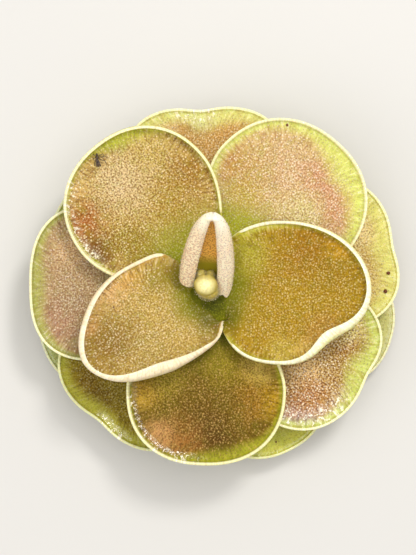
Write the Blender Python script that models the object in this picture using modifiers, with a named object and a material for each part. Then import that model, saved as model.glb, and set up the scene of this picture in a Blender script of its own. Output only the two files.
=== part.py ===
"""A butterwort lifted bare-root: a flat rosette of fleshy round leaves on a short crown.

Run it with: blender --background --python part.py
Metres, +Z up. The origin is the centre of the crown's flat foot, on the surface that the plant stands on.
The leaves are numbered from the youngest, at the top of the crown, to the oldest, at its bottom.
Sizes are in millimetres until a mesh is written, where MM turns them to metres.
"""

import math
import random
from typing import NamedTuple

import bmesh
import bpy
from mathutils import Matrix, Vector

MM = 0.001
SEED = 7

# The spiral: each leaf grows a golden angle on from the one above it.
GOLDEN_ANGLE = 137.5
SPIRAL_START = 75.0

# The crown: a short stem, wider at its foot, as (height, radius) from the foot up.
CROWN_PROFILE = (
    (0.0, 2.6),
    (0.5, 3.0),
    (2.0, 2.9),
    (4.5, 2.3),
    (7.5, 1.6),
    (9.2, 1.2),
    (10.6, 0.9),
    (11.0, 0.0),
)
CROWN_SEGMENTS = 24
CLEARANCE = 0.3
WELD = 0.0005
TURNED_WELD = 0.01

# The threads of root, splayed from the crown's foot: each starts inside it and runs out over the surface.
ROOT_COUNT = 13
ROOT_RADIUS = 0.42
ROOT_TAPER = 0.25
ROOT_LENGTH = (7.0, 14.0)
ROOT_LIFT = 0.12
ROOT_START = 1.4
ROOT_START_HEIGHT = 0.9
ROOT_SCATTER = 0.25
ROOT_BEND = 0.5
ROOT_WIGGLE = 0.12
ROOT_WAVES = 7.0
ROOT_POINTS = 7

# Where the leaves leave the crown, and how they rise from it.
TOP_LEAF_HEIGHT = 9.9
LEAF_STEP = 0.46
RISE_OF_YOUNGEST = 9.5
RISE_FADE = 7.0
RISE_LOSS = 1.0
DROOP = 0.5
DISH = (1.0, 0.3)  # how far the youngest and the oldest leaf's margins stand above their middles
BASE_DISH = 0.25  # the share of that which is left at the base

# The blade's section: fleshy along the middle, thin at the rolled margin. Near its base the roll and the
# dish fade out, between these two angles either side of the way back to the crown.
MIDDLE_THICKNESS = 0.9
RIM_THICKNESS = 0.65
ROLL_START = 0.8
BASE_FADE = (12.0, 50.0)

# The rings of points, as shares of the way to the edge: closer in the leaves that show most.
FINE_LEAVES = 8
FINE_RINGS = (0.27, 0.52, 0.7, ROLL_START, 0.87, 0.94, 1.0)
FINE_SPOKES = 24
PLAIN_RINGS = (0.4, ROLL_START, 0.9, 1.0)
PLAIN_SPOKES = 22


class Leaf(NamedTuple):
    """A blade from above, in millimetres from the crown's axis, left and right as seen from the crown."""

    turn: float  # degrees off its place in the spiral
    reach: float  # to the tip
    widest: float  # to the widest part
    left: float  # half widths
    right: float
    tip: float  # 2 is a round tip, 3 a squarer one
    base: float  # 1.5 is a wedge, 4 a broad base that clasps the crown
    bank: float  # height gained per millimetre to the left
    roll: tuple  # radius of the rolled margin, left and right
    roll_angle: float
    dents: tuple = ()  # each a bearing from the midrib and a half width, in degrees, and a depth


LEAVES = (
    Leaf(-2, 19.0, 8.8, 7.2, 7.8, 1.85, 3.8, 0.03, (1.1, 0.9), 140, ((150, 14, -1.0),)),
    Leaf(5, 21.5, 10.3, 9.7, 9.4, 2.1, 2.8, -0.07, (0.7, 1.0), 125, ((-38, 28, 2.1), (140, 14, -0.6))),
    Leaf(0, 23.8, 13.6, 10.6, 10.2, 2.2, 1.7, 0.0, (0.6, 0.9), 105),
    Leaf(3, 23.6, 13.6, 10.9, 10.4, 2.3, 1.7, -0.03, (0.6, 0.7), 95),
    Leaf(5, 26.0, 15.0, 11.5, 10.7, 2.2, 1.6, -0.02, (0.6, 0.6), 85),
    Leaf(1, 24.0, 15.0, 9.7, 11.4, 2.6, 1.5, 0.0, (0.5, 0.5), 80),
    Leaf(14, 25.2, 15.0, 9.0, 12.1, 2.5, 1.5, -0.02, (0.5, 0.5), 75, ((0, 17, 0.5),)),
    Leaf(-4, 24.6, 15.5, 11.2, 11.0, 2.9, 1.5, 0.0, (0.5, 0.5), 70, ((5, 17, 0.5),)),
    Leaf(-2, 24.1, 15.0, 11.1, 10.8, 2.7, 1.5, 0.0, (0.45, 0.45), 70, ((0, 17, 0.4),)),
    Leaf(2, 26.5, 16.0, 11.4, 9.8, 2.7, 1.5, 0.0, (0.45, 0.45), 65, ((0, 17, 0.4),)),
    Leaf(6, 23.4, 14.5, 9.0, 9.4, 2.2, 1.5, 0.0, (0.4, 0.4), 60),
    Leaf(12, 25.4, 15.0, 9.0, 9.4, 2.3, 1.5, 0.0, (0.4, 0.4), 60),
    Leaf(0, 23.0, 14.5, 9.0, 9.0, 2.2, 1.5, 0.0, (0.4, 0.4), 55),
    Leaf(0, 24.6, 14.5, 8.8, 9.2, 2.3, 1.5, 0.0, (0.4, 0.4), 55),
    Leaf(7, 26.8, 15.5, 9.4, 9.6, 2.3, 1.5, 0.0, (0.35, 0.35), 50),
)

# The young leaf: it stands up behind the bud, with both margins rolled in over its face like scrolls.
YOUNG_FOOT = (-0.25, 1.15, 11.8)
YOUNG_DIRECTION = 86.0
YOUNG_LEAN = 48.0
YOUNG_LENGTH = 13.4
YOUNG_WIDEST = 0.2
YOUNG_HALF_WIDTH = 3.55
YOUNG_TAPER = (1.2, 0.43)
YOUNG_SLIT = 1.75
YOUNG_LOBE = 1.1
YOUNG_CURL = 240.0
YOUNG_CURL_KEPT = 0.25  # at the tip, where the scrolls open
YOUNG_OPENS = 0.82
YOUNG_CURVE = 0.9
YOUNG_THICKNESS = 0.65
YOUNG_FLOOR = 0.36  # the share of the half width that lies flat, between the scrolls
YOUNG_LOBE_ENDS = 0.35
YOUNG_ROWS = 13
YOUNG_COLUMNS = 18
SCROLL_LEAST = 0.1
TIP_WELD = 0.02

# The bud: the youngest leaf of all, curled up like a fist.
BUD_RADIUS = 1.5
BUD_CENTRE = (-0.3, 0.3, 13.9)
BUD_STRETCH = 1.7
BUD_LEAN = (0.35, -0.5)
BUD_CREASE = 0.16
BUD_CREASE_WIDTH = 0.28

# The colours: the leaves' flesh by number, from amber in the youngest to green in the oldest.
LEAF_COLORS = (
    (0.48, 0.3, 0.09),
    (0.46, 0.31, 0.08),
    (0.5, 0.3, 0.14),
    (0.42, 0.28, 0.08),
    (0.52, 0.34, 0.15),
    (0.42, 0.32, 0.13),
    (0.44, 0.26, 0.1),
    (0.48, 0.32, 0.12),
    (0.3, 0.24, 0.06),
    (0.38, 0.34, 0.08),
    (0.34, 0.38, 0.1),
    (0.32, 0.36, 0.1),
    (0.3, 0.36, 0.1),
    (0.32, 0.38, 0.12),
    (0.32, 0.38, 0.12),
)
LEAF_ROUGHNESS = 0.35
CREAM = (0.78, 0.62, 0.4)
BUD_CREAM = (0.72, 0.64, 0.36)
CROWN_BROWN = (0.2, 0.15, 0.07)
CROWN_ROUGHNESS = 0.7


def smooth_step(value, low, high):
    share = min(1.0, max(0.0, (value - low) / (high - low)))
    return share * share * (3 - 2 * share)


def crown_radius(height):
    """The crown's radius at a height, along its profile."""
    for (low, wide), (high, narrow) in zip(CROWN_PROFILE, CROWN_PROFILE[1:]):
        if height <= high:
            return wide + (narrow - wide) * (height - low) / (high - low)
    return 0.0


class Blade:
    """A blade lying along its own X axis, with its face up."""

    def __init__(self, leaf, foot, rise, dish, rim):
        self.leaf = leaf
        self.foot = foot
        self.rise = rise
        self.dish = dish
        self.rim = rim

    def outline(self, angle):
        """How far the blade reaches from its widest part's middle, at an angle from its midrib."""
        leaf = self.leaf
        ahead, aside = math.cos(angle), math.sin(angle)
        half_width = leaf.left if aside >= 0 else leaf.right
        if ahead >= 0:
            half_length, power = leaf.reach - leaf.widest, leaf.tip
        else:
            half_length, power = leaf.widest - self.foot, leaf.base
        reach = (abs(ahead / half_length) ** power + abs(aside / half_width) ** power) ** (-1 / power)
        for bearing, spread, depth in leaf.dents:
            away = math.degrees(math.remainder(angle - math.radians(bearing), math.tau))
            reach -= depth * math.exp(-((away / spread) ** 2))
        return reach

    def fade(self, angle):
        """How much of its roll and dish the blade has: 0 where it meets the crown, 1 beyond."""
        return smooth_step(180 - abs(math.degrees(math.remainder(angle, math.tau))), *BASE_FADE)

    def point(self, share, angle):
        """A point of the upper face, at a share of the way from the blade's middle to its edge."""
        leaf = self.leaf
        fade = self.fade(angle)
        radius = leaf.roll[1] + (leaf.roll[0] - leaf.roll[1]) * (0.5 + 0.5 * math.sin(angle))
        edge = self.outline(angle) - self.rim * fade
        dish = self.dish * (BASE_DISH + (1 - BASE_DISH) * fade)
        slope = (self.rise - 2 * DROOP) / leaf.reach * math.cos(angle) + 2 * dish / edge
        start = math.atan(slope)
        end = start + fade * math.radians(leaf.roll_angle)
        plain = (1 - fade) * (1 - ROLL_START) * edge
        flat = edge - plain - radius * (math.sin(min(end, math.pi / 2)) - math.sin(start))
        turned = max(0.0, (share - ROLL_START) / (1 - ROLL_START))
        across = flat * min(share / ROLL_START, 1.0) + plain * turned
        along = (leaf.widest + across * math.cos(angle)) / leaf.reach
        height = self.rise * along - DROOP * along * along + dish * (across / edge) ** 2
        bearing = start + (end - start) * turned
        across += radius * (math.sin(bearing) - math.sin(start))
        height += radius * (math.cos(start) - math.cos(bearing))
        aside = across * math.sin(angle)
        return Vector((leaf.widest + across * math.cos(angle), aside, height + leaf.bank * aside))


def new_collection(name):
    collection = bpy.data.collections.new(name)
    bpy.context.scene.collection.children.link(collection)
    return collection


def material(name, color, roughness):
    made = bpy.data.materials.new(name)
    made.use_nodes = True
    shader = made.node_tree.nodes["Principled BSDF"]
    shader.inputs["Base Color"].default_value = (*color, 1)
    shader.inputs["Roughness"].default_value = roughness
    shader.inputs["Metallic"].default_value = 0.0
    return made


def add_object(name, mesh, collection, color, roughness):
    """A new object with a material of its own, shaded smooth."""
    made = bpy.data.objects.new(name, mesh)
    collection.objects.link(made)
    mesh.materials.append(material(name.replace("_", " "), color, roughness))
    mesh.shade_smooth()
    return made


def turned_disc(shares, segments):
    """A flat disc of radius 1 with a ring of points at each share of it, spun from one spoke, facing up."""
    disc = bmesh.new()
    spoke = [disc.verts.new((share, 0, 0)) for share in (0.0, *shares)]
    edges = [disc.edges.new(pair) for pair in zip(spoke, spoke[1:])]
    axis = (0, 0, 1)
    bmesh.ops.spin(disc, geom=spoke + edges, cent=(0, 0, 0), axis=axis, angle=math.tau, steps=segments)
    bmesh.ops.remove_doubles(disc, verts=disc.verts, dist=0.0001)
    bmesh.ops.recalc_face_normals(disc, faces=disc.faces)
    if sum(face.normal.z for face in disc.faces) < 0:
        bmesh.ops.reverse_faces(disc, faces=disc.faces)
    bmesh.ops.triangulate(disc, faces=disc.faces, quad_method="FIXED")
    return disc


def thicken(blade, thickest, thinnest, weights):
    """Gives an open face its flesh, below it, with each point's thickness between the two."""
    group = blade.vertex_groups.new(name="flesh")
    for index, weight in enumerate(weights):
        group.add([index], weight, "REPLACE")
    solid = blade.modifiers.new("flesh", "SOLIDIFY")
    solid.thickness = thickest * MM
    solid.offset = -1
    solid.vertex_group = group.name
    solid.thickness_vertex_group = thinnest / thickest


def add_blade(name, blade, shares, segments, placing, collection, color):
    """A blade: a disc drawn out to the outline, dished, with its margin rolled up, and given flesh."""
    disc = turned_disc(shares, segments)
    weights = []
    for vertex in disc.verts:
        share, angle = vertex.co.length, math.atan2(vertex.co.y, vertex.co.x)
        vertex.co = placing @ blade.point(min(share, 1.0), angle) * MM
        weights.append(1 - share * share)
    mesh = bpy.data.meshes.new(name)
    disc.to_mesh(mesh)
    disc.free()
    made = add_object(name, mesh, collection, color, LEAF_ROUGHNESS)
    thicken(made, MIDDLE_THICKNESS, RIM_THICKNESS, weights)


def add_leaf(number, leaf, color, collection):
    height = TOP_LEAF_HEIGHT - LEAF_STEP * number
    rise = RISE_OF_YOUNGEST * math.exp(-number / RISE_FADE) - RISE_LOSS
    dish = DISH[0] + (DISH[1] - DISH[0]) * number / len(LEAVES)
    foot = crown_radius(height - MIDDLE_THICKNESS) + CLEARANCE
    blade = Blade(leaf, foot, rise, dish, RIM_THICKNESS)
    direction = math.radians(SPIRAL_START + GOLDEN_ANGLE * number + leaf.turn)
    placing = Matrix.Translation((0, 0, height)) @ Matrix.Rotation(direction, 4, "Z")
    shares, segments = (FINE_RINGS, FINE_SPOKES) if number <= FINE_LEAVES else (PLAIN_RINGS, PLAIN_SPOKES)
    add_blade(f"leaf_{number:02d}", blade, shares, segments, placing, collection, color)


def scroll_point(along, across):
    """A point of the young leaf's face before it leans, along from 0 to 1 and across from -1 to 1."""
    past = max(0.0, (along - YOUNG_WIDEST) / (1 - YOUNG_WIDEST))
    half_width = YOUNG_HALF_WIDTH * max(0.0, 1 - past ** YOUNG_TAPER[0]) ** YOUNG_TAPER[1]
    scroll = 0.5 * (half_width - YOUNG_SLIT * (1 - along))
    inner = max(scroll - YOUNG_THICKNESS, SCROLL_LEAST)
    floor = max(half_width - inner - YOUNG_THICKNESS, 0.0)
    side = abs(across)
    turned = max(0.0, side - YOUNG_FLOOR) / (1 - YOUNG_FLOOR)
    opened = (1 - YOUNG_CURL_KEPT) * smooth_step(along, YOUNG_OPENS, 1.0)
    curl = math.radians(YOUNG_CURL) * turned * (1 - opened)
    aside = floor * min(side / YOUNG_FLOOR, 1.0) + inner * math.sin(curl)
    height = inner * (1 - math.cos(curl)) + YOUNG_CURVE * along * along
    back = YOUNG_LOBE * side * side * (1 - smooth_step(along, 0.0, YOUNG_LOBE_ENDS))
    return Vector((YOUNG_LENGTH * along - back, math.copysign(aside, across), height))


def add_young_leaf(collection):
    """The scrolled leaf: a grid rolled up at both sides, drawn in at the tip, leant and given flesh."""
    sheet = bmesh.new()
    bmesh.ops.create_grid(sheet, x_segments=YOUNG_ROWS, y_segments=YOUNG_COLUMNS, size=1.0)
    turned = Matrix.Rotation(math.radians(YOUNG_DIRECTION), 4, "Z")
    leant = Matrix.Rotation(math.radians(-YOUNG_LEAN), 4, "Y")
    placing = Matrix.Translation(YOUNG_FOOT) @ turned @ leant
    for vertex in sheet.verts:
        vertex.co = placing @ scroll_point((vertex.co.x + 1) / 2, vertex.co.y) * MM
    bmesh.ops.remove_doubles(sheet, verts=sheet.verts, dist=TIP_WELD * MM)
    bmesh.ops.triangulate(sheet, faces=sheet.faces, quad_method="FIXED")
    mesh = bpy.data.meshes.new("young_leaf")
    sheet.to_mesh(mesh)
    sheet.free()
    leaf = add_object("young_leaf", mesh, collection, CREAM, LEAF_ROUGHNESS)
    thicken(leaf, YOUNG_THICKNESS, YOUNG_THICKNESS, [1.0] * len(mesh.vertices))


def add_bud(collection):
    """The bud: a ball with a crease at its back, drawn out below into the stalk that it grows on."""
    ball = bmesh.new()
    bmesh.ops.create_uvsphere(ball, u_segments=16, v_segments=12, radius=BUD_RADIUS)
    for vertex in ball.verts:
        way = vertex.co.normalized()
        crease = math.exp(-((way.x / BUD_CREASE_WIDTH) ** 2)) * smooth_step(way.y, 0.0, 0.9)
        vertex.co *= 1 - BUD_CREASE * crease
        below = max(0.0, -way.z)
        vertex.co.z -= (BUD_STRETCH - 1) * BUD_RADIUS * below * below
        vertex.co.x += BUD_LEAN[0] * below
        vertex.co.y += BUD_LEAN[1] * below
        vertex.co = (vertex.co + Vector(BUD_CENTRE)) * MM
    mesh = bpy.data.meshes.new("leaf_bud")
    ball.to_mesh(mesh)
    ball.free()
    add_object("leaf_bud", mesh, collection, BUD_CREAM, LEAF_ROUGHNESS)


def add_root(number, rng, collection):
    """One thread of root, from inside the crown's foot out along the surface."""
    direction = math.tau * (number + rng.uniform(-ROOT_SCATTER, ROOT_SCATTER)) / ROOT_COUNT
    length = rng.uniform(*ROOT_LENGTH)
    bend = rng.uniform(-ROOT_BEND, ROOT_BEND)
    curve = bpy.data.curves.new(f"root_{number}", "CURVE")
    curve.dimensions = "3D"
    curve.bevel_depth = ROOT_RADIUS * MM
    curve.bevel_resolution = 1
    curve.use_fill_caps = True
    line = curve.splines.new("POLY")
    line.points.add(ROOT_POINTS - 1)
    for step, point in enumerate(line.points):
        share = step / (ROOT_POINTS - 1)
        reach = ROOT_START + (length - ROOT_START) * share
        heading = direction + bend * share * share + ROOT_WIGGLE * math.sin(ROOT_WAVES * share + number)
        fall = ROOT_START_HEIGHT * (1 - smooth_step(share, 0.0, 0.4))
        height = ROOT_RADIUS + ROOT_LIFT + fall
        point.co = (reach * math.cos(heading) * MM, reach * math.sin(heading) * MM, height * MM, 1)
        point.radius = 1 - ROOT_TAPER * share
    thread = bpy.data.objects.new(curve.name, curve)
    collection.objects.link(thread)
    solid = bpy.data.objects.new("root", as_mesh(thread))
    bpy.data.objects.remove(thread)
    collection.objects.link(solid)
    return solid


def weld(mesh):
    """Joins points that lie on one another, and turns every face outwards."""
    joined = bmesh.new()
    joined.from_mesh(mesh)
    bmesh.ops.remove_doubles(joined, verts=joined.verts, dist=WELD * MM)
    bmesh.ops.recalc_face_normals(joined, faces=joined.faces)
    joined.to_mesh(mesh)
    joined.free()


def as_mesh(made):
    """The object's shape as a plain mesh, with its modifiers or its curve worked out."""
    mesh = bpy.data.meshes.new_from_object(made.evaluated_get(bpy.context.evaluated_depsgraph_get()))
    weld(mesh)
    return mesh


def fuse(body, extras):
    """Joins the extra solids into the body, and takes them away."""
    for extra in extras:
        union = body.modifiers.new(extra.name, "BOOLEAN")
        union.operation = "UNION"
        union.solver = "MANIFOLD"
        union.object = extra
        fused = as_mesh(body)
        body.modifiers.clear()
        body.data = fused
        bpy.data.objects.remove(extra)


def add_crown(collection):
    """The crown: its profile turned about the axis, with the roots fused to its foot."""
    profile = bmesh.new()
    points = [(radius, height) for height, radius in reversed(CROWN_PROFILE)] + [(0.0, 0.0)]
    line = [profile.verts.new((radius * MM, 0, height * MM)) for radius, height in points]
    for pair in zip(line, line[1:]):
        profile.edges.new(pair)
    mesh = bpy.data.meshes.new("crown")
    profile.to_mesh(mesh)
    profile.free()
    crown = add_object("crown", mesh, collection, CROWN_BROWN, CROWN_ROUGHNESS)
    turning = crown.modifiers.new("turning", "SCREW")
    turning.steps = CROWN_SEGMENTS
    turning.render_steps = CROWN_SEGMENTS
    turning.use_merge_vertices = True
    turning.merge_threshold = TURNED_WELD * MM
    crown.data = as_mesh(crown)
    crown.modifiers.clear()
    rng = random.Random(SEED)
    fuse(crown, [add_root(number, rng, collection) for number in range(ROOT_COUNT)])


def clear_scene():
    for existing in list(bpy.data.objects):
        bpy.data.objects.remove(existing)


def build():
    clear_scene()
    plant = new_collection("butterwort")
    add_crown(plant)
    for number, (leaf, color) in enumerate(zip(LEAVES, LEAF_COLORS), 1):
        add_leaf(number, leaf, color, plant)
    add_young_leaf(plant)
    add_bud(plant)


build()
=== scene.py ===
# The looks of a butterwort lifted bare-root: sticky leaves, scrolled young leaf, fuzzy bud, crown and roots.
# Sizes in the dictionaries are millimetres, bearings degrees. A mesh turns sizes to metres as it is made.
import math
import random
from functools import partial

import bmesh
import bpy
from mathutils import Matrix, Vector, noise
from mathutils.bvhtree import BVHTree


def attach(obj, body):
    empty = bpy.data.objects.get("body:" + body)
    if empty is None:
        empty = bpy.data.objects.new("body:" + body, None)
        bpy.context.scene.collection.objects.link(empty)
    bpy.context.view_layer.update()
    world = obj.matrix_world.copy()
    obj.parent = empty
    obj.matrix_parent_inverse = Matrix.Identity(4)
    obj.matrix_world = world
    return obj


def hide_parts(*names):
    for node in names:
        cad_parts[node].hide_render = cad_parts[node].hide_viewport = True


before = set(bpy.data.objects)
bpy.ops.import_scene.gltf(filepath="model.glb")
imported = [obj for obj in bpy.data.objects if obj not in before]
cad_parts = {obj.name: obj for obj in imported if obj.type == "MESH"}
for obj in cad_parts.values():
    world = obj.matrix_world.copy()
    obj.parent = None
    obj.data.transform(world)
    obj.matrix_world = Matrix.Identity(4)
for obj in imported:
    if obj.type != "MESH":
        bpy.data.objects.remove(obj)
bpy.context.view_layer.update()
mm = 0.001
print("frame read:", len(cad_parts), "nodes")
# settings that many range and mix nodes share
smooth = {"interpolation_type": "SMOOTHSTEP"}
inColor = {"data_type": "RGBA"}


def smoothStep(value, low, high):
    share = min(1.0, max(0.0, (value - low) / (high - low)))
    return share * share * (3 - 2 * share)


def turnedFrom(angle, bearing):
    # degrees from a bearing round to an angle, the short way
    return math.degrees(math.remainder(angle - math.radians(bearing), math.tau))


def hump(away, spread):
    return math.exp(-((away / spread) ** 2))


def linearColor(hexColor):
    channels = [int(hexColor[start : start + 2], 16) / 255 for start in (1, 3, 5)]
    linear = [c / 12.92 if c <= 0.04045 else ((c + 0.055) / 1.055) ** 2.4 for c in channels]
    return (*linear, 1.0)


def setInputs(node, inputs):
    for name, value in inputs.items():
        if isinstance(value, bpy.types.NodeSocket):
            node.id_data.links.new(value, node.inputs[name])
        elif isinstance(value, str) and value.startswith("#"):
            node.inputs[name].default_value = linearColor(value)
        else:
            node.inputs[name].default_value = value


def addNode(tree, kind, inputs, give=0, **settings):
    # adds a node with its settings and links. Gives one of its outputs, or with None the node itself.
    # a short kind is a shader node
    node = tree.nodes.new(kind if "Node" in kind else "ShaderNode" + kind)
    for name, value in settings.items():
        setattr(node, name, value)
    setInputs(node, inputs)
    return node if give is None else node.outputs[give]


def startMaterial(name):
    material = bpy.data.materials.new(name)
    material.use_nodes = True
    tree = material.node_tree
    tree.nodes.clear()
    shader = addNode(tree, "BsdfPrincipled", {}, None)
    addNode(tree, "OutputMaterial", {"Surface": shader.outputs["BSDF"]}, None)
    return material, partial(addNode, tree), shader


def linkObject(name, data):
    item = bpy.data.objects.new(name, data)
    bpy.context.scene.collection.objects.link(item)
    return item


def meshFrom(builder, name):
    mesh = bpy.data.meshes.new(name)
    builder.to_mesh(mesh)
    builder.free()
    return mesh


def plainMesh(carrier):
    # the object's mesh as its modifiers leave it. The object itself goes
    depsgraph = bpy.context.evaluated_depsgraph_get()
    mesh = bpy.data.meshes.new_from_object(carrier.evaluated_get(depsgraph), depsgraph=depsgraph)
    carrier.modifiers.clear()
    bpy.data.objects.remove(carrier)
    return mesh


def addPiece(name, mesh, material, slot, *nodes):
    piece = linkObject(name, mesh)
    if material:
        mesh.materials.clear()
        mesh.materials.append(material)
    mesh.shade_smooth()
    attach(piece, "root")
    if nodes:
        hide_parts(*nodes)
    return piece


def bakeTree(name, source, tree, settings):
    # runs a node tree on a copy of the source and gives its result as a plain mesh
    carrier = linkObject(name, source)
    modifier = carrier.modifiers.new(tree.name, "NODES")
    modifier.node_group = tree
    for item in tree.interface.items_tree:
        if item.in_out == "INPUT" and item.name in settings:
            modifier[item.identifier] = settings[item.name]
    return plainMesh(carrier)


# flesh: an open face gets its thickness below it, drawn to a round edge where taper falls to 0
def fleshOut(name, points, faces, thickness, taper, notes):
    face = bpy.data.meshes.new(name)
    face.from_pydata(points, [], faces)
    face.update()
    normals = [vertex.normal.copy() for vertex in face.vertices]
    top = []
    bottom = []
    for point, normal, thick, share in zip(points, normals, thickness, taper):
        middle = point - normal * (thick / 2)
        reach = normal * (thick / 2 * share)
        top.append(middle + reach)
        bottom.append(middle - reach)
    spots = [index for index, share in enumerate(taper) if share > 0]
    under = list(range(len(points)))
    for order, index in enumerate(spots):
        under[index] = len(points) + order
    every = top + [bottom[index] for index in spots]
    closed = list(faces) + [tuple(under[index] for index in reversed(corners)) for corners in faces]
    mesh = bpy.data.meshes.new(name)
    mesh.from_pydata([point * mm for point in every], [], closed)
    bpy.data.meshes.remove(face)
    for title, values in notes.items():
        kind = "FLOAT_VECTOR" if isinstance(values[0], Vector) else "FLOAT"
        full = list(values) + [values[index] for index in spots]
        layer = mesh.attributes.new(title, kind, "POINT")
        if kind == "FLOAT":
            layer.data.foreach_set("value", full)
        else:
            layer.data.foreach_set("vector", [axis for vector in full for axis in vector])
    side = mesh.attributes.new("faceUp", "FLOAT", "POINT")
    side.data.foreach_set("value", [1.0 if share > 0 else 0.5 for share in taper] + [0.0] * len(spots))
    mesh.update()
    return mesh


# Leaves: one spiral, the youngest on top. Each number is the same as the solid's that it stands for.
spiral = {
    "goldenAngle": 137.5,
    "start": 75.0,
    "topHeight": 9.9,
    "step": 0.46,
    "rise": 9.5,
    "riseFade": 7.0,
    "riseLoss": 1.0,
    "droop": 0.5,
    "dish": (1.0, 0.3),
    "baseDish": 0.25,
}
crownProfile = (
    (0.0, 2.6),
    (0.5, 3.0),
    (2.0, 2.9),
    (4.5, 2.3),
    (7.5, 1.6),
    (9.2, 1.2),
    (10.6, 0.9),
    (11.0, 0.0),
)
bladeForm = {
    "middle": 0.9,
    "margin": (0.48, 0.42, 0.4),  # of the first leaf, the second and the rest
    "rollStart": 0.8,
    "roundStart": 0.94,
    "baseFade": (18.0, 54.0),
    "baseThins": 0.5,
    "clearance": 0.3,
    "baseReach": 0.7,  # how far a base grows on into the crown
    "settle": (0.45, 1.0),  # from here out a base settles on the leaf below
    "settleMost": 1.6,
    "innerRings": 13,
    "rollRings": 6,
    "roundRings": 5,
    "spokes": 108,
    "swell": 0.07,  # soft unevenness of the face
    "swellLength": 3.5,
    "swellStep": 9,  # keeps each leaf's unevenness its own
    "calmMargin": 2.5,
    "calmBase": (3.0, 7.0),
    "noMargin": 3.0,  # added to the way in from the margin where a base shows none
}
# turn, reach, widest, half widths left and right, tip, base, bank, roll radii, roll angle, dents
firstDents = ((150, 14, -1.0), (138, 13, -0.6), (-28, 26, 0.42), (62, 26, 0.28), (-132, 12, -0.45))
leafForms = (
    (-2, 19.0, 8.8, 7.2, 7.8, 1.85, 3.8, 0.03, (0.95, 0.5), 128, firstDents),
    (5, 21.5, 10.3, 9.7, 9.4, 2.1, 2.8, -0.07, (0.6, 0.6), 118, ((-38, 28, 2.1), (140, 14, -0.6))),
    (0, 23.8, 13.6, 10.6, 10.2, 2.2, 1.7, 0.0, (0.6, 0.9), 105, ()),
    (3, 23.6, 13.6, 10.9, 10.4, 2.3, 1.7, -0.03, (0.6, 0.7), 95, ()),
    (5, 26.0, 15.0, 11.5, 10.7, 2.2, 1.6, -0.02, (0.6, 0.6), 85, ()),
    (1, 24.0, 15.0, 9.7, 11.4, 2.6, 1.5, 0.0, (0.5, 0.5), 80, ()),
    (14, 25.2, 15.0, 9.0, 12.1, 2.5, 1.5, -0.02, (0.5, 0.5), 75, ((0, 17, 0.5),)),
    (-4, 24.6, 15.5, 11.2, 11.0, 2.9, 1.5, 0.0, (0.5, 0.5), 70, ((5, 17, 0.5),)),
    (-2, 24.1, 15.0, 11.1, 10.8, 2.7, 1.5, 0.0, (0.45, 0.45), 70, ((0, 17, 0.4),)),
    (2, 26.5, 16.0, 11.4, 9.8, 2.7, 1.5, 0.0, (0.45, 0.45), 65, ((0, 17, 0.4),)),
    (6, 23.4, 14.5, 9.0, 9.4, 2.2, 1.5, 0.0, (0.4, 0.4), 60, ()),
    (12, 25.4, 15.0, 9.0, 9.4, 2.3, 1.5, 0.0, (0.4, 0.4), 60, ()),
    (0, 23.0, 14.5, 9.0, 9.0, 2.2, 1.5, 0.0, (0.4, 0.4), 55, ()),
    (0, 24.6, 14.5, 8.8, 9.2, 2.3, 1.5, 0.0, (0.4, 0.4), 55, ()),
    (7, 26.8, 15.5, 9.4, 9.6, 2.3, 1.5, 0.0, (0.35, 0.35), 50, ()),
)
# where a margin curls further over: bearing, spread, degrees more, radius more
furtherCurl = {
    1: ((74, 46, 30, 0.2), (-126, 30, -60, -0.25), (15, 16, -20, -0.2)),
    2: ((-38, 36, 46, 0.3), (120, 30, -50, -0.2)),
}
# where a leaf's margin still shows beside the bud: bearing, spread
shownBase = {1: (143, 15)}
formNames = ("turn", "reach", "widest", "left", "right", "tip", "base", "bank", "roll", "rollAngle", "dents")


def crownRadius(height):
    for (low, wide), (high, narrow) in zip(crownProfile, crownProfile[1:]):
        if height <= high:
            return wide + (narrow - wide) * (height - low) / (high - low)
    return 0.0


def baseFade(angle):
    return smoothStep(180 - abs(turnedFrom(angle, 0)), *bladeForm["baseFade"])


def outlineReach(leaf, foot, angle):
    ahead, aside = math.cos(angle), math.sin(angle)
    halfWidth = leaf["left"] if aside >= 0 else leaf["right"]
    if ahead >= 0:
        halfLength, power = leaf["reach"] - leaf["widest"], leaf["tip"]
    else:
        halfLength, power = leaf["widest"] - foot, leaf["base"]
    reach = (abs(ahead / halfLength) ** power + abs(aside / halfWidth) ** power) ** (-1 / power)
    for bearing, spread, depth in leaf["dents"]:
        reach -= depth * hump(turnedFrom(angle, bearing), spread)
    return reach


def bladePoint(leaf, foot, rise, dish, margin, share, angle):
    rollStart, droop = bladeForm["rollStart"], spiral["droop"]
    fade = baseFade(angle)
    left, right = leaf["roll"]
    radius = right + (left - right) * (0.5 + 0.5 * math.sin(angle))
    rollAngle = leaf["rollAngle"]
    for bearing, spread, degreesMore, radiusMore in leaf["curl"]:
        curled = hump(turnedFrom(angle, bearing), spread)
        radius += radiusMore * curled
        rollAngle += degreesMore * curled
    edge = outlineReach(leaf, foot, angle) - margin * fade
    dish *= spiral["baseDish"] + (1 - spiral["baseDish"]) * fade
    start = math.atan((rise - 2 * droop) / leaf["reach"] * math.cos(angle) + 2 * dish / edge)
    end = start + fade * math.radians(rollAngle)
    plain = (1 - fade) * (1 - rollStart) * edge
    flat = edge - plain - radius * (math.sin(min(end, math.pi / 2)) - math.sin(start))
    turned = max(0.0, (share - rollStart) / (1 - rollStart))
    across = flat * min(share / rollStart, 1.0) + plain * turned
    along = (leaf["widest"] + across * math.cos(angle)) / leaf["reach"]
    height = rise * along - droop * along * along + dish * (across / edge) ** 2
    slope = start + (end - start) * turned
    across += radius * (math.sin(slope) - math.sin(start))
    height += radius * (math.cos(start) - math.cos(slope))
    aside = across * math.sin(angle)
    return Vector((leaf["widest"] + across * math.cos(angle), aside, height + leaf["bank"] * aside))


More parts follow.
